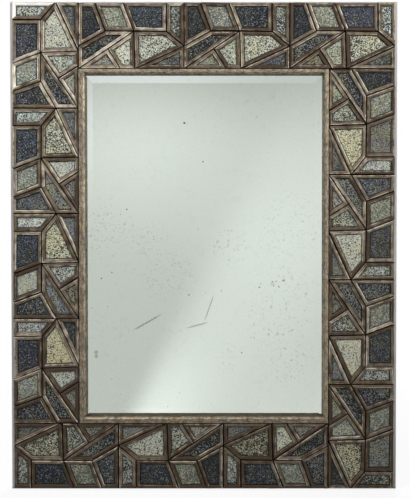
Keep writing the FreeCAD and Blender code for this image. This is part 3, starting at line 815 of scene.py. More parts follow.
@dataclass(frozen=True)
class StripCut:
    """The section of a mitred strip and how it is worked by hand."""

    section: Points
    back_y: float
    waver: float
    uneven: float
    step: float
    mitre_gap: float = 0.05 * MM
    waver_wave: float = 38 * MM
    uneven_wave: float = 30 * MM
    foot: float = 1 * MM
    eased: float = 5 * MM

    def lay(self, shell: Shell, rings: Sequence[Sequence[Point]], side: int, dice: random.Random,
            lift: Callable[[float, float], float], tone: float, lean: float) -> None:
        """Adds one closed strip along one side of an outline.

        Args:
            shell: the piece that the strip goes into.
            rings: the outline at each inset of the section.
            side: which side of the outline is laid.
            dice: the seeded draws.
            lift: extra height at a place, for a tilted tile.
            tone: how light the leaf is, painted light and shade included.
            lean: above 0 the outer arris gets a painted highlight and a fillet's hollow painted shade,
                below 0 the inner arris gets the highlight and the foot deeper painted shade.
        """
        after = (side + 1) % len(rings[0])
        start, end = Vector(rings[0][side]), Vector(rings[0][after])
        length = (end - start).length
        inward = Vector((-(end - start).y, (end - start).x)).normalized()
        drift = Ripple(dice, self.waver, self.waver_wave)
        swell = Ripple(dice, self.uneven, self.uneven_wave)
        shift = dice.uniform(0.0, 9.0)
        count = max(2, round(length / self.step))
        trim = self.mitre_gap / length
        rows = []
        for station in range(count + 1):
            share = trim + (1 - 2 * trim) * station / count
            ease = min(1.0, share * length / self.eased, (1 - share) * length / self.eased)
            move = inward * drift(share * length) * ease
            row = []
            for ring, (across, height) in zip(rings, self.section):
                x = ring[side][0] + (ring[after][0] - ring[side][0]) * share + move.x
                z = ring[side][1] + (ring[after][1] - ring[side][1]) * share + move.y
                tall = height
                if height > self.foot:
                    tall += lift(x, z) + swell(share * length) * ease * min(1.0, height / self.eased)
                number = shell.point(x, self.back_y - tall, z)
                row.append((number, (shift + share * length, across, height)))
            rows.append(row)
        edges = [(edge, (edge + 1) % len(self.section)) for edge in range(len(self.section))]
        walls = [(first[here], second[here], second[there], first[there])
                 for first, second in zip(rows, rows[1:]) for here, there in edges]
        for corners in (*walls, rows[0], rows[-1][::-1]):
            numbers, strip = zip(*corners)
            shell.face(numbers, strip, tone, lean)


@dataclass(frozen=True)
class TileCut:
    """One tile of a module: its shade and the module points at its corners."""

    letter: str
    shade: Shade
    path: str
    tone: float
    warmth: float
    fleck: float

    @property
    def corners(self) -> list[str]:
        """Lists the module points."""
        return self.path.split()

    def along(self, side: int, share: float) -> bool:
        """Says whether a side runs along the band at this share of its width."""
        ends = (self.corners[side], self.corners[(side + 1) % len(self.corners)])
        return all(MODULE_POINTS[name][1] == share for name in ends)


@dataclass(frozen=True)
class RunPlan:
    """Where a run of modules starts, which way it goes, how warm it is, and the painted light and shade on
    its rims, module by module and along their outer and inner edges.
    """

    run: Run
    turn: float
    side: int
    end: int
    warmth: float
    rim_shading: tuple[float, ...]
    outer_shading: tuple[float, ...]
    inner_shading: float

    @property
    def modules(self) -> int:
        """Counts the modules."""
        return len(self.rim_shading)


@dataclass
class Tile:
    """One tile in its place on the frame."""

    cut: TileCut
    outline: list[Point]
    tone: float
    warmth: float
    tilt: Point

    def lift(self, x: float, z: float) -> float:
        """Gives the extra height of the tilted tile at a place."""
        centre = middle(self.outline)
        return (x - centre[0]) * self.tilt[0] + (z - centre[1]) * self.tilt[1]


MODULE_POINTS: dict[str, Point] = {
    "outer_start": (0.0, 0.0),
    "outer_first": (0.168, 0.0),
    "outer_second": (0.578, 0.0),
    "outer_third": (0.845, 0.0),
    "outer_end": (1.0, 0.0),
    "start_fork": (0.0, 0.66),
    "end_fork": (1.0, 0.66),
    "middle_first": (0.166, 0.44),
    "middle_second": (0.474, 0.433),
    "middle_third": (0.746, 0.432),
    "inner_fork": (0.72, 0.698),
    "inner_start": (0.0, 1.0),
    "inner_first": (0.463, 1.0),
    "inner_second": (0.6, 1.0),
    "inner_end": (1.0, 1.0),
}

TILE_CUTS = (
    TileCut("a", Shade.SILVER, "outer_start outer_first middle_first start_fork", 0.6, -0.6, 1.0),
    TileCut("b", Shade.NAVY, "outer_first outer_second middle_second middle_first", -0.1, -0.8, 1.0),
    TileCut("c", Shade.SILVER, "outer_second outer_third middle_third middle_second", -0.2, 0.6, 0.6),
    TileCut("d", Shade.SLATE, "outer_third outer_end end_fork middle_third", -1.2, -0.8, 1.0),
    TileCut("e", Shade.CREAM, "start_fork middle_first middle_second inner_first", 0.1, -0.4, 1.0),
    TileCut("f", Shade.SLATE, "start_fork inner_first inner_start", 0.8, -0.5, 0.8),
    TileCut("g", Shade.SILVER, "middle_second inner_fork inner_second inner_first", 0.5, 0.2, 1.0),
    TileCut("h", Shade.SLATE, "inner_fork inner_end inner_second", 1.3, 0.9, 1.0),
    TileCut("i", Shade.NAVY, "middle_second middle_third end_fork inner_end", -1.7, 0.8, 1.6),
)

Marks = dict[Run, str]

TILE_CASTS: dict[Cast, Marks] = {
    Cast.DEEP: {
        Run.TOP: "2a 3a 1d 2d 3d 1f 2i",
        Run.BOTTOM: "2d 3e",
        Run.RIGHT: "1a 4d 1f",
        Run.LEFT: "4f",
    },
    Cast.DARK: {
        Run.TOP: "1a 2b 2c 1d 3d 1e 3i",
        Run.BOTTOM: "1a 2a 1b 2b 3b 1c 1e 2d 1g 2i 3i",
        Run.RIGHT: "1f 2g",
        Run.LEFT: "2e 3h",
    },
    Cast.PALE: {
        Run.TOP: "1b 3b 1g 2g 2h 3h",
        Run.BOTTOM: "2e 2f 3f 2h",
        Run.RIGHT: "4a 1b 2b 3b 3d 3e 4e 2f 3f 1g 1h 3h 4h 2i 3i",
        Run.LEFT: "3a 4c 1e 4e 2f 3f 2g 4g 4h",
    },
    Cast.BRIGHT: {
        Run.TOP: "3g",
        Run.BOTTOM: "3g 2h",
        Run.RIGHT: "1b 4b 2e 1h 4h",
        Run.LEFT: "3c 2d 1h 2i 3i",
    },
}

TILE_HUES: dict[Hue, Marks] = {
    Hue.WARM: {Run.TOP: "1g 2g 3g", Run.BOTTOM: "3g 2h", Run.RIGHT: "1b 3b 4b 1h 4h", Run.LEFT: "3e 4e"},
    Hue.COOL: {Run.TOP: "3e", Run.LEFT: "1f 3g 3i"},
}

# Painted highlights: these rim sides, most at the top-left corner, are turned near white, as where the
# lamps glint on them.
RIM_GLINTS: dict[tuple[Run, int, str, int], float] = {
    (Run.LEFT, 0, "a", 0): 3.6,
    (Run.LEFT, 0, "a", 3): 3.6,
    (Run.LEFT, 0, "c", 0): 1.2,
    (Run.LEFT, 0, "c", 3): 1.0,
    (Run.LEFT, 3, "c", 2): 1.4,
}

# The rims' tones paint light and shade by run and module: lighter toward the top-left where the lamps fall,
# darker toward the bottom, with the bottom run's outer rims dark as in shadow, a bright outer rim at the
# top-left corner and darker inner rims.
RUN_PLANS = (
    RunPlan(Run.BOTTOM, turn=0.0, side=-1, end=-1, warmth=0.15,
            rim_shading=(-0.67, -0.53, -0.3), outer_shading=(-1.8,) * 3, inner_shading=-0.3),
    RunPlan(Run.RIGHT, turn=90.0, side=1, end=-1, warmth=0.28,
            rim_shading=(-0.32, 0.12, 0.02, -0.22), outer_shading=(-0.4,) * 4, inner_shading=-0.9),
    RunPlan(Run.TOP, turn=180.0, side=1, end=1, warmth=0.1,
            rim_shading=(-0.57, -0.47, 0.05), outer_shading=(-0.2, -0.1, 1.1), inner_shading=0.0),
    RunPlan(Run.LEFT, turn=270.0, side=-1, end=1, warmth=-0.28,
            rim_shading=(0.5, 0.0, -0.1, -0.35), outer_shading=(0.2, 0.1, -0.3, -0.2), inner_shading=-0.7),
)


@dataclass
class TileBand:
    """The band of tiles: fourteen modules of nine panes in raised rims.

    The points of a rim's face are in millimetres, in from its outer edge and down from its top.
    """

    module_length: float = 213 * MM
    band_width: float = 134 * MM
    frame_width: float = 773 * MM
    frame_height: float = 986 * MM
    gap: float = 1.8 * MM
    rim_width: float = 7.0 * MM
    rim_height: float = 6.5 * MM
    rim_shoulders: Point = (4.9 * MM, 3.2 * MM)
    rim_face: Points = ((0.45, 0.7), (1.0, 0.15), (2.6, 0.05), (4.4, 0.1), (5.7, 0.25), (6.4, 0.9))
    rim_slope: Point = (-0.06, 0.16)
    rim_crease: float = 24.0
    pane_slack: float = 0.1 * MM
    pane_top: float = 3.5 * MM
    pane_step: float = 7 * MM
    pane_wave: Point = (0.16 * MM, 45 * MM)
    pane_crease: float = 60.0
    bed_y: float = -26 * MM
    tilt: float = 0.016
    twist: float = 0.4
    shift: float = 0.25 * MM
    ragged: float = 1.4 * MM
    seed: int = 41

    def rim_section(self, dice: random.Random) -> Points:
        """Gives a rim's section, a flat face between two eased arrises, from outer to inner foot.

        Args:
            dice: the seeded draws.

        Returns:
            The distance in from the outer edge and the height of each point.
        """
        slope = dice.uniform(*self.rim_slope)
        outer, inner = self.rim_shoulders
        face = []
        for across, drop in self.rim_face:
            lean = (across * MM - self.rim_width / 2) * slope
            face.append((across * MM, self.rim_height - drop * MM - lean - abs(slope) * 2 * MM))
        return ((0.0, 0.0), (0.0, outer), *face, (self.rim_width, inner), (self.rim_width, 0.0))

    def dice(self, draw: Draw, plan: RunPlan, step: int, index: int) -> random.Random:
        """Gives one tile of a module its own seeded draws."""
        far, stride, pace = draw.value
        return random.Random(self.seed * far + plan.turn + step * stride + index * pace)

    def tiles(self, plan: RunPlan, step: int) -> list[Tile]:
        """Sets out the tiles of one module.

        Args:
            plan: the run that the module is in.
            step: which module of the run, from 0.

        Returns:
            The tiles, each slightly askew as hand-set tiles are.
        """
        turn = math.radians(plan.turn)
        cosine, sine = math.cos(turn), math.sin(turn)
        start_x = plan.side * self.frame_width / 2 + step * self.module_length * cosine
        start_z = plan.end * self.frame_height / 2 + step * self.module_length * sine
        laid = []
        for index, cut in enumerate(TILE_CUTS):
            dice = self.dice(Draw.SETTING, plan, step, index)
            outline = []
            for name in cut.corners:
                share_u, share_v = MODULE_POINTS[name]
                u = share_u * self.module_length
                v = share_v * self.band_width
                if share_v == 0.0:
                    v += dice.uniform(-0.6, 1.0) * self.ragged
                outline.append((start_x + u * cosine - v * sine, start_z + u * sine + v * cosine))
            outline = self.askew(inset(outline, self.gap / 2), dice)
            tilt = (dice.uniform(-1, 1) * self.tilt, dice.uniform(-1, 1) * self.tilt)
            mark = f"{step + 1}{cut.letter}"
            tone = cut.tone + self.apart(TILE_CASTS, plan.run, mark) + dice.uniform(-0.5, 0.5)
            warmth = cut.warmth + self.apart(TILE_HUES, plan.run, mark) + dice.uniform(-0.5, 0.5)
            warmth += plan.warmth
            laid.append(Tile(cut, outline, tone, warmth, tilt))
        return laid

    def apart(self, table: dict[Cast, Marks] | dict[Hue, Marks], run: Run, mark: str) -> float:
        """Adds up how far the pane with this module number and letter is set apart from its kind."""
        return sum(far.value for far, runs in table.items() if mark in runs.get(run, "").split())

    def askew(self, outline: Sequence[Point], dice: random.Random) -> list[Point]:
        """Turns and shifts an outline a little.

        Args:
            outline: the tile's corners.
            dice: the seeded draws.

        Returns:
            The new corners.
        """
        centre_x, centre_z = middle(outline)
        turn = math.radians(dice.uniform(-self.twist, self.twist))
        cosine, sine = math.cos(turn), math.sin(turn)
        move_x, move_z = (dice.uniform(-self.shift, self.shift) for _ in range(2))
        away = [(x - centre_x, z - centre_z) for x, z in outline]
        return [(centre_x + x * cosine - z * sine + move_x, centre_z + x * sine + z * cosine + move_z)
                for x, z in away]

    def rims(self, plan: RunPlan, step: int, leaf: bpy.types.Material) -> None:
        """Makes the rims of one module.

        Args:
            plan: the run that the module is in.
            step: which module of the run, from 0.
            leaf: the finish of the rims.
        """
        shell = Shell()
        for index, tile in enumerate(self.tiles(plan, step)):
            dice = self.dice(Draw.RIM, plan, step, index)
            for side in range(len(tile.outline)):
                section = self.rim_section(dice)
                cut = StripCut(section, self.bed_y, waver=0.25 * MM, uneven=0.3 * MM, step=5 * MM)
                rings = [inset(tile.outline, across) for across, _ in section]
                # Painted light and shade: the run's and module's values and RIM_GLINTS are added to each
                # rim side's random tone, making it lighter or darker by where light falls on the frame.
                tone = dice.uniform(-1.0, 1.0) + plan.rim_shading[step]
                tone += RIM_GLINTS.get((plan.run, step, tile.cut.letter, side), 0.0)
                if tile.cut.along(side, 0.0):
                    tone += plan.outer_shading[step]
                if tile.cut.along(side, 1.0):
                    tone += plan.inner_shading
                cut.lay(shell, rings, side, dice, tile.lift, tone, dice.uniform(-1.0, 1.0))
        node = f"rims_{plan.run.value}_{step + 1}"
        hand_over(shell.piece(f"leafed_{node}", leaf, self.rim_crease), node)

    def pane(self, shell: Shell, tile: Tile, dice: random.Random) -> None:
        """Adds one pane with eased edges and a slightly wavy face.

        Args:
            shell: the piece that the pane goes into.
            tile: the tile that the pane fills.
            dice: the seeded draws.
        """
        outline = inset(tile.outline, self.rim_width + self.pane_slack)
        centre = middle(outline)
        wave_x, wave_z = (Ripple(dice, *self.pane_wave) for _ in range(2))
        stations = []
        for index, here in enumerate(outline):
            there = outline[(index + 1) % len(outline)]
            count = max(2, round(math.dist(here, there) / self.pane_step))
            for part in range(count):
                share = part / count
                stations.append(tuple(a + (b - a) * share for a, b in zip(here, there)))
        rows = []
        strips = []
        levels = [(1.0, None), (1.0, 0.5 * MM), (0.985, 0.12 * MM)]
        levels += [(scale, 0.0) for scale in (0.9, 0.75, 0.5, 0.25)]
        reach = sum(math.dist(centre, station) for station in stations) / len(stations)
        for scale, drop in levels:
            row = []
            strips.append((0.0, (1 - scale) * reach * 0.8, 0.0))
            for x, z in stations:
                new_x = centre[0] + (x - centre[0]) * scale
                new_z = centre[1] + (z - centre[1]) * scale
                tall = 0.0
                if drop is not None:
                    tall = self.pane_top - drop + tile.lift(new_x, new_z) + wave_x(new_x) + wave_z(new_z)
                row.append(shell.point(new_x, self.bed_y - tall, new_z))
            rows.append(row)
        peak_height = self.pane_top + tile.lift(*centre) + wave_x(centre[0]) + wave_z(centre[1])
        peak = shell.point(centre[0], self.bed_y - peak_height, centre[1])
        count = len(stations)
        kept = (tile.tone, tile.warmth, tile.cut.fleck)
        for level, (low, high) in enumerate(zip(rows, rows[1:])):
            margins = [strips[level], strips[level], strips[level + 1], strips[level + 1]]
            for index in range(count):
                after = (index + 1) % count
                shell.face((low[index], low[after], high[after], high[index]), margins, *kept)
        for index in range(count):
            shell.face((rows[-1][index], rows[-1][(index + 1) % count], peak), [strips[-1]] * 3, *kept)
        shell.face(rows[0][::-1], [strips[0]] * count, *kept)

    def panes(self, plan: RunPlan, shade: Shade, glass: bpy.types.Material) -> None:
        """Makes the panes of one shade in one run.

        Args:
            plan: the run.
            shade: the shade.
            glass: the finish of that shade.
        """
        shell = Shell()
        for step in range(plan.modules):
            for index, tile in enumerate(self.tiles(plan, step)):
                if tile.cut.shade is shade:
                    self.pane(shell, tile, self.dice(Draw.PANE, plan, step, index))
        node = f"panes_{shade.value}_{plan.run.value}"
        hand_over(shell.piece(f"speckled_{node}", glass, self.pane_crease), node)

    def build(self, leaf: LeafFinish, panes: dict[Shade, PaneFinish]) -> None:
        """Makes and dresses the whole band.

        Args:
            leaf: the finish of the rims.
            panes: the finish of each shade.
        """
        bronze = leaf.material()
        glass = {shade: finish.material() for shade, finish in panes.items()}
        for plan in RUN_PLANS:
            for step in range(plan.modules):
                self.rims(plan, step, bronze)
            for shade in Shade:
                self.panes(plan, shade, glass[shade])


@dataclass
class Fillet:
    """The four mitred strips round the sight of the plate.

    The points of the face are in millimetres, and each side has a tone and a lean of its own, which paint
    the light and shade that fall on that side.
    """

    half_width: float = 252.5 * MM
    half_height: float = 359 * MM
    width: float = 13.5 * MM
    face: Points = ((0.0, 11.0), (0.5, 12.1), (1.4, 12.6), (3.5, 12.75), (6.5, 12.9), (9.0, 12.85),
                    (9.9, 12.5), (11.4, 11.6), (12.9, 10.5))
    inner_height: float = 9.6 * MM
    left_share: float = 0.93
    top_share: float = 0.72
    right_share: float = 0.72
    back_y: float = -21.08 * MM
    crease: float = 24.0
    seed: int = 77
    # Painted light and shade: each side's tone makes it lighter or darker as light falls on it, and its
    # lean puts a painted highlight on the arris that faces the light.
    sides: tuple[tuple[Run, float, float], ...] = (
        (Run.BOTTOM, 0.62, -0.3), (Run.RIGHT, 0.97, 0.1), (Run.TOP, 0.85, -0.15), (Run.LEFT, 0.7, -0.2))

    def section(self) -> Points:
        """Gives the section, from the outer foot over the flat face and the hollow to the inner foot."""
        worked = ((across * MM, height * MM) for across, height in self.face)
        return ((0.0, 0.0), *worked, (self.width, self.inner_height), (self.width, 0.0))

    def ring(self, across: float) -> list[Point]:
        """Sets out the four corners at one place of the section.

        Args:
            across: how far in from the outer edge.

        Returns:
            The corners, drawn in less at the top and the sides, where the strips are worked narrower.
        """
        left = across * self.left_share - self.half_width
        low = across - self.half_height
        right = self.half_width - across * self.right_share
        high = self.half_height - across * self.top_share
        return [(left, low), (right, low), (right, high), (left, high)]

    def build(self, leaf: LeafFinish) -> None:
        """Makes and dresses the four strips.

        Args:
            leaf: their finish.
        """
        material = leaf.material()
        cut = StripCut(self.section(), self.back_y, waver=0.15 * MM, uneven=0.2 * MM, step=6 * MM)
        rings = [self.ring(across) for across, _ in cut.section]
        for side, (run, tone, lean) in enumerate(self.sides):
            shell = Shell()
            cut.lay(shell, rings, side, random.Random(self.seed + side), lambda x, z: 0.0, tone, lean)
            node = f"fillet_{run.value}"
            hand_over(shell.piece(f"leafed_{node}", material, self.crease), node)


def dress(finish: Finish, *names: str) -> None:
    """Gives CAD nodes their finish.

    Args:
        finish: the finish.
        *names: the nodes.
    """
    material = finish.material()
    for name in names:
        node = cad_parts[name]
        for holder in node.material_slots:
            holder.material = material
        if not node.material_slots:
            node.data.materials.append(material)
        LOG.info("%s: %s", name, material.name)


@dataclass
class Carcass:
    """What carries the tiles and the plate: boards, dowels, packing, back panel, hangers and bumpers."""

    half_width: float = 386.5 * MM
    half_height: float = 493 * MM
    bed_y: float = -26 * MM

    def build(self, plate: SilverFinish) -> None:
        """Dresses the nodes that keep their CAD shape.

        Args:
            plate: the finish of the mirror plate.
        """
        for name, nodes, strokes in (("stile_paint", ("stile_left", "stile_right"), (26.0, 60.0, 3.0)),
                                     ("rail_paint", ("rail_top", "rail_bottom"), (3.0, 60.0, 26.0))):
            paint = BoardFinish(name, paint=tint(196, 195, 194), scuff=tint(152, 149, 144),
                                lower_right_pale=tint(240, 239, 237), bed=tint(20, 14, 10), strokes=strokes,
                                half_width=self.half_width, half_height=self.half_height, bed_y=self.bed_y)
            dress(paint, *nodes)
        dowel = GrainFinish("dowel_wood", tint(214, 186, 146), tint(176, 140, 98), (60.0, 500.0, 500.0))
        dress(dowel, "corner_dowels")
        packing = GrainFinish("packing_wood", tint(206, 178, 138), tint(168, 132, 92), (300.0, 300.0, 25.0))
        dress(packing, *(f"packing_{run.value}" for run in Run))
        board = GrainFinish("hardboard", tint(142, 104, 70), tint(112, 78, 50), (90.0,) * 3, speckle=0.5)
        dress(board, "back_panel")
        steel = SteelFinish("hanger_steel", tint(206, 206, 202), tint(150, 150, 146), roughness=0.24)
        hangers = ("hanger_strap_left", "hanger_strap_right", "hanger_ring_left", "hanger_ring_right")
        dress(steel, *hangers)
        screws = SteelFinish("screw_steel", tint(196, 190, 172), tint(132, 126, 110), roughness=0.28)
        dress(screws, "back_panel_screws", "hanger_screws")
        rubber = RubberFinish("bumper_rubber", tint(44, 44, 45), tint(92, 90, 88))
        dress(rubber, "wall_bumpers")
        dress(plate, "mirror_plate")


@dataclass(frozen=True)
class Lamp:
    """A soft square lamp."""

    name: str
    place: Place
    aim: Place
    size: float
    watts: float
    spread: float

    def light(self) -> None:
        """Hangs the lamp."""
        data = bpy.data.lights.new(self.name, "AREA")
        data.shape = "SQUARE"
        data.size = self.size
        data.energy = self.watts
        data.spread = math.radians(self.spread)
        lamp = stand(self.name, data)
        lamp.location = self.place
        lamp.rotation_euler = (Vector(self.aim) - Vector(self.place)).to_track_quat("-Z", "Y").to_euler()


@dataclass
class Studio:
    """The floor, the card that the plate reflects, the lamps, the world and the camera."""

    floor_z: float = -495 * MM
    floor_half: float = 6.0
    floor_colour: Colour = (0.95, 0.95, 0.95, 1.0)
    fill: float = 0.09
    card_y: float = -3.2
    card_half: float = 2.6
    card_colour: Colour = (0.97, 1.0, 0.965, 1.0)
    bevel_colour: Colour = (0.985, 0.995, 1.0, 1.0)
    plate_y: float = -21 * MM
    distance: float = 1.6
    camera_x: float = 0.06
    camera_z: float = 0.14
    aim_x: float = 2.7 * MM
    aim_z: float = -4.2 * MM
    pitch: float = 1.06
    tile_y: float = -32.5 * MM
    view_height: float = 1.0055
    sight: Point = (0.25, 0.36)
    streak_start: Point = (-0.041, -0.093)
    streak_across: Point = (0.911, -0.413)
    glows: tuple[Spot, ...] = (Spot(-132, 204, 281, 0.132), Spot(183, -17, 292, 0.122),
                               Spot(334, -150, 318, -0.12))
    lamps: tuple[Lamp, ...] = (
        Lamp("key_lamp", (-1.24, -0.95, 1.46), (-0.27, 0.0, 0.01), size=0.9, watts=5.2, spread=64.0),
        Lamp("side_lamp", (1.49, -1.06, 0.9), (-0.04, 0.0, 0.39), size=0.9, watts=5.6, spread=64.0),
        Lamp("back_lamp", (0.5, 2.2, 1.5), (0.0, 0.0, 0.0), size=1.4, watts=60.0, spread=180.0),
    )

    def sheet(self, name: str, corners: Sequence[Place], material: bpy.types.Material) -> bpy.types.Object:
        """Makes one flat sheet of the stage.

        Args:
            name: its name.
            corners: its four corners.
            material: its finish.

        Returns:
            The sheet.
        """
        mesh = bpy.data.meshes.new(name)
        mesh.from_pydata(corners, [], [(0, 1, 2, 3)])
        mesh.materials.append(material)
        made = stand(name, mesh)
        return made

    def floor(self) -> None:
        """Lays the pale floor, which is white to the camera apart from the shadow near the mirror."""
        material, bench = new_material("studio_floor")
        away = bench.vector("LENGTH", bench.place())["Value"]
        matt = bench.node("ShaderNodeBsdfDiffuse", {}, {"Color": self.floor_colour})[0]
        white = bench.node("ShaderNodeEmission", {}, {"Color": WHITE, "Strength": 1.0})[0]
        seen = bench.node("ShaderNodeLightPath")["Is Camera Ray"]
        share = seen * (0.86 + bench.rise(away, 0.55, 1.3) * 0.14)
        mixed = bench.node("ShaderNodeMixShader", {}, {0: share, 1: matt, 2: white})[0]
        bench.node("ShaderNodeOutputMaterial", {}, {"Surface": mixed})
        corners = [(x * self.floor_half, y * self.floor_half, self.floor_z) for x, y in SQUARE]
        floor = self.sheet("studio_floor", corners, material)
        floor.visible_glossy = False
        floor.visible_diffuse = False

    def card(self) -> None:
        """Hangs a glowing card behind the camera, unseen by the camera, which the plate reflects; its
        painted bands, glows and brighter bevel zones make the plate's reflection.
        """
        material, bench = new_material("studio_card")
        card_x, _, card_z = bench.axes(bench.place())
        throw = 1 + (self.plate_y - self.card_y) / (self.plate_y - self.tile_y + self.distance)
        x = (card_x - self.camera_x) * (1 / throw) + self.camera_x
        z = (card_z - self.camera_z) * (1 / throw) + self.camera_z
        field_x = (x & self.sight[0]) | -self.sight[0]
        field_z = (z & self.sight[1]) | -self.sight[1]
        place = bench.join(field_x, 0.0, field_z)
        edge = (field_x - self.streak_start[0]) * self.streak_across[0]
        edge = edge + (field_z - self.streak_start[1]) * self.streak_across[1]
        wedge = bench.rise(edge, 0.073, -0.0185) * bench.rise(field_z, 0.5, -0.284)
        ridge = bench.rise(edge, 0.217, 0.002) * bench.rise(edge, -0.02, 0.04)
        ridge = ridge * bench.rise(field_z, -0.05, -0.7)
        level = 0.695 - wedge * 0.1325 + ridge * 0.652
        for glow in self.glows:
            level = level + glow.mask(bench, place, core=0.0)
        # Painted reflection: the card is brighter where the plate's bevels see it, so that the bevels show
        # a brighter reflection.
        top_bevel = bench.rise(z, 0.42, 0.48) * (0.45 + bench.rise(field_x, 0.25, -0.1) * 0.55)
        bevel = top_bevel | bench.rise(x, -0.3, -0.38) * bench.rise(field_z, 0.0, 0.3)
        level = level - bench.rise(field_z, 0.177, 0.5) * 0.354 + bench.rise(x, 0.3, 0.38) * 0.015
        level = level + bevel * 0.1 + top_bevel * 0.14
        colour = bench.blend(level, BLACK, bench.blend(bevel, self.card_colour, self.bevel_colour))
        light = bench.node("ShaderNodeEmission", {}, {"Color": colour, "Strength": 1.0})[0]
        bench.node("ShaderNodeOutputMaterial", {}, {"Surface": light})
        corners = [(x * self.card_half, self.card_y, z * self.card_half) for z, x in SQUARE]
        card = self.sheet("studio_card", corners, material)
        card.visible_camera = False
        card.visible_diffuse = False
        card.visible_shadow = False

    def world(self) -> None:
        """Sets soft fill light, which is plain white to the camera, to gloss and through glass."""
        world = bpy.data.worlds.new("studio_world")
        world.use_nodes = True
        bench = Bench(world.node_tree)
        path = bench.node("ShaderNodeLightPath")
        shown = path["Is Camera Ray"] | path["Is Glossy Ray"] | path["Is Transmission Ray"]
        soft, white = (bench.node("ShaderNodeBackground", {}, {"Color": WHITE, "Strength": strength})[0]
                       for strength in (self.fill, 1.0))
        mixed = bench.node("ShaderNodeMixShader", {}, {0: shown, 1: soft, 2: white})[0]
        bench.node("ShaderNodeOutputWorld", {}, {"Surface": mixed})
        bpy.context.scene.world = world

    def camera(self) -> None:
        """Sets the camera where the photograph was taken from."""
        data = bpy.data.cameras.new("studio_camera")
        data.sensor_width = 36.0
        data.lens = data.sensor_width * self.distance / self.view_height
        data.shift_x = (self.aim_x - self.camera_x) / self.view_height
        drop = self.distance * math.tan(math.radians(self.pitch))
        data.shift_y = (self.aim_z - self.camera_z + drop) / self.view_height
        camera = stand("studio_camera", data)
        camera.location = (self.camera_x, self.tile_y - self.distance, self.camera_z)
        camera.rotation_euler = (math.radians(90 - self.pitch), 0.0, 0.0)
        bpy.context.scene.camera = camera

    def build(self) -> None:
        """Sets the whole studio up."""
        bpy.context.scene.view_settings.view_transform = "Standard"
        self.floor()
        self.card()
        self.world()
        for lamp in self.lamps:
            lamp.light()
        self.camera()


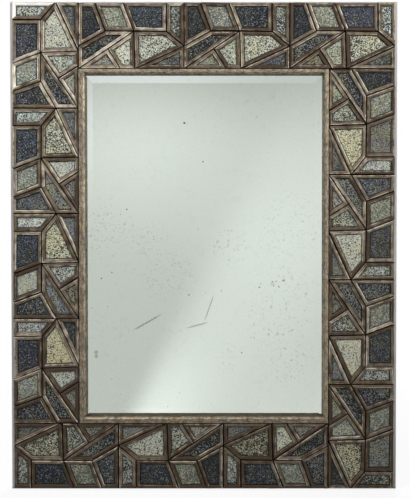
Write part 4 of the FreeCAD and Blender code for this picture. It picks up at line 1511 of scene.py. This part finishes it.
def main() -> None:
    """Builds the mirror piece by piece, then the studio."""
    logging.basicConfig(level=logging.INFO, format="%(name)s: %(message)s")
    panes = {
        Shade.NAVY: PaneFinish("glass_navy", tint(24, 27, 33), tint(75, 80, 88), tint(94, 91, 83),
                               tint(162, 165, 164), cut=0.06, grain=760.0, shift=0.9),
        Shade.SLATE: PaneFinish("glass_slate", tint(27, 29, 32), tint(98, 102, 105), tint(142, 138, 120),
                                tint(180, 183, 178), cut=0.04, grain=720.0, shift=0.9),
        Shade.SILVER: PaneFinish("glass_silver", tint(50, 54, 50), tint(182, 188, 181), tint(168, 170, 150),
                                 tint(232, 236, 232), cut=0.0, grain=620.0, shift=0.4),
        Shade.CREAM: PaneFinish("glass_cream", tint(52, 52, 42), tint(190, 193, 179), tint(198, 191, 152),
                                tint(240, 238, 220), cut=-0.08, grain=600.0, shift=0.2),
    }
    rim_leaf = LeafFinish("bronze_leaf", width=7.0 * MM, foot_top=4.2 * MM, foot_end=2.6 * MM)
    TileBand().build(rim_leaf, panes)
    fillet_leaf = LeafFinish("fillet_leaf", width=14.2 * MM, foot_top=10.6 * MM, foot_end=9.3 * MM,
                             line_in=3.8 * MM, streaks=(110.0, 360.0), lap_pitch=15 * MM, mottle=0.9,
                             edge_shade=1.2 * MM, clay=tint(76, 65, 55), leaf=tint(112, 101, 87),
                             gold=tint(118, 103, 82), shine=tint(184, 172, 150))
    Fillet().build(fillet_leaf)
    plate = SilverFinish(
        "silvered_glass",
        silver=tint(244, 250, 244),
        stain=tint(124, 120, 92),
        black=tint(24, 22, 18),
        specks=(
            Spot(-39.5, 250.9, 2.8, 1), Spot(-1.7, 172.4, 1.9, 0.9), Spot(-156.8, 75.5, 1.9, 0.9),
            Spot(-208.8, -65.3, 2.1, 0.85), Spot(-187.4, -53, 2, 0.85), Spot(-30.3, -98.9, 2.1, 0.9),
            Spot(36, -90.8, 1.6, 0.8), Spot(76.8, -217.3, 1.7, 0.8), Spot(107.4, 263.2, 1.8, 0.6),
            Spot(112.8, -83.3, 2.3, 0.7), Spot(139.5, -72, 2.1, 0.6), Spot(142.1, -80.7, 2, 0.6),
            Spot(147.3, -71, 1.9, 0.55), Spot(152.4, -82.2, 2, 0.7), Spot(116.2, -76.4, 1.9, 0.5),
            Spot(201.3, 50.8, 1.9, 0.5), Spot(224.4, 15, 1.9, 0.25), Spot(62.4, -9.1, 1.7, 0.35),
            Spot(-77.6, -88.4, 1.7, 0.4), Spot(-196.4, -123.2, 1.9, 0.35), Spot(-113.6, -207.6, 2.2, 0.2),
            Spot(178.1, -232.7, 2.2, 0.3), Spot(149.8, -254.7, 2, 0.25), Spot(-188.2, -271.1, 1.9, 0.3),
            Spot(-170.2, -303.3, 1.7, 0.35), Spot(-11.4, 36.1, 2.2, 0.3), Spot(-102.1, 14.3, 2.4, 0.3),
            Spot(-29.8, -35.7, 2.3, 0.28), Spot(-109.2, -82.5, 2, 0.35), Spot(-97.5, -70, 2.2, 0.28),
            Spot(4, -95, 1.7, 0.35), Spot(-74.4, -327.7, 1.7, 0.3), Spot(-49.8, -299.6, 2, 0.2),
            Spot(-228.1, -126.2, 1.9, 0.3), Spot(-178.9, -76.3, 2, 0.25), Spot(-142, -46.6, 2, 0.25),
            Spot(97.7, -130.9, 2, 0.3), Spot(48.5, -210.6, 2, 0.3), Spot(205.3, -130.9, 2, 0.3),
        ),
        foxing=(
            Spot(140, -76, 7, 0.22), Spot(162, -69.7, 3.6, 0.9), Spot(-220, -216.3, 5.6, 0.8),
            Spot(-219.6, -224.3, 5.6, 0.8), Spot(208, -96.6, 5, 0.3),
        ),
        dust=(
            Spot(-199, 30, 74, 1), Spot(-119, 11, 60, 0.9), Spot(-70, -61, 68, 1),
            Spot(53, -1, 50, 0.9), Spot(173, 36, 92, 0.6), Spot(158, -86, 76, 0.8),
            Spot(142, -151, 86, 0.9), Spot(167, -229, 76, 0.7), Spot(50, -223, 48, 0.5),
            Spot(-171, -173, 34, 0.4),
        ),
        scratches=(
            Scratch((-150, -174.5), (-80, -135), 2.6, 0.95),
            Scratch((22, -94), (-1, -158), 1.9, 0.6),
            Scratch((-40, -168), (12, -154), 2.2, 0.6),
        ),
    )
    Carcass().build(plate)
    Studio().build()


if __name__ == "__main__":
    main()
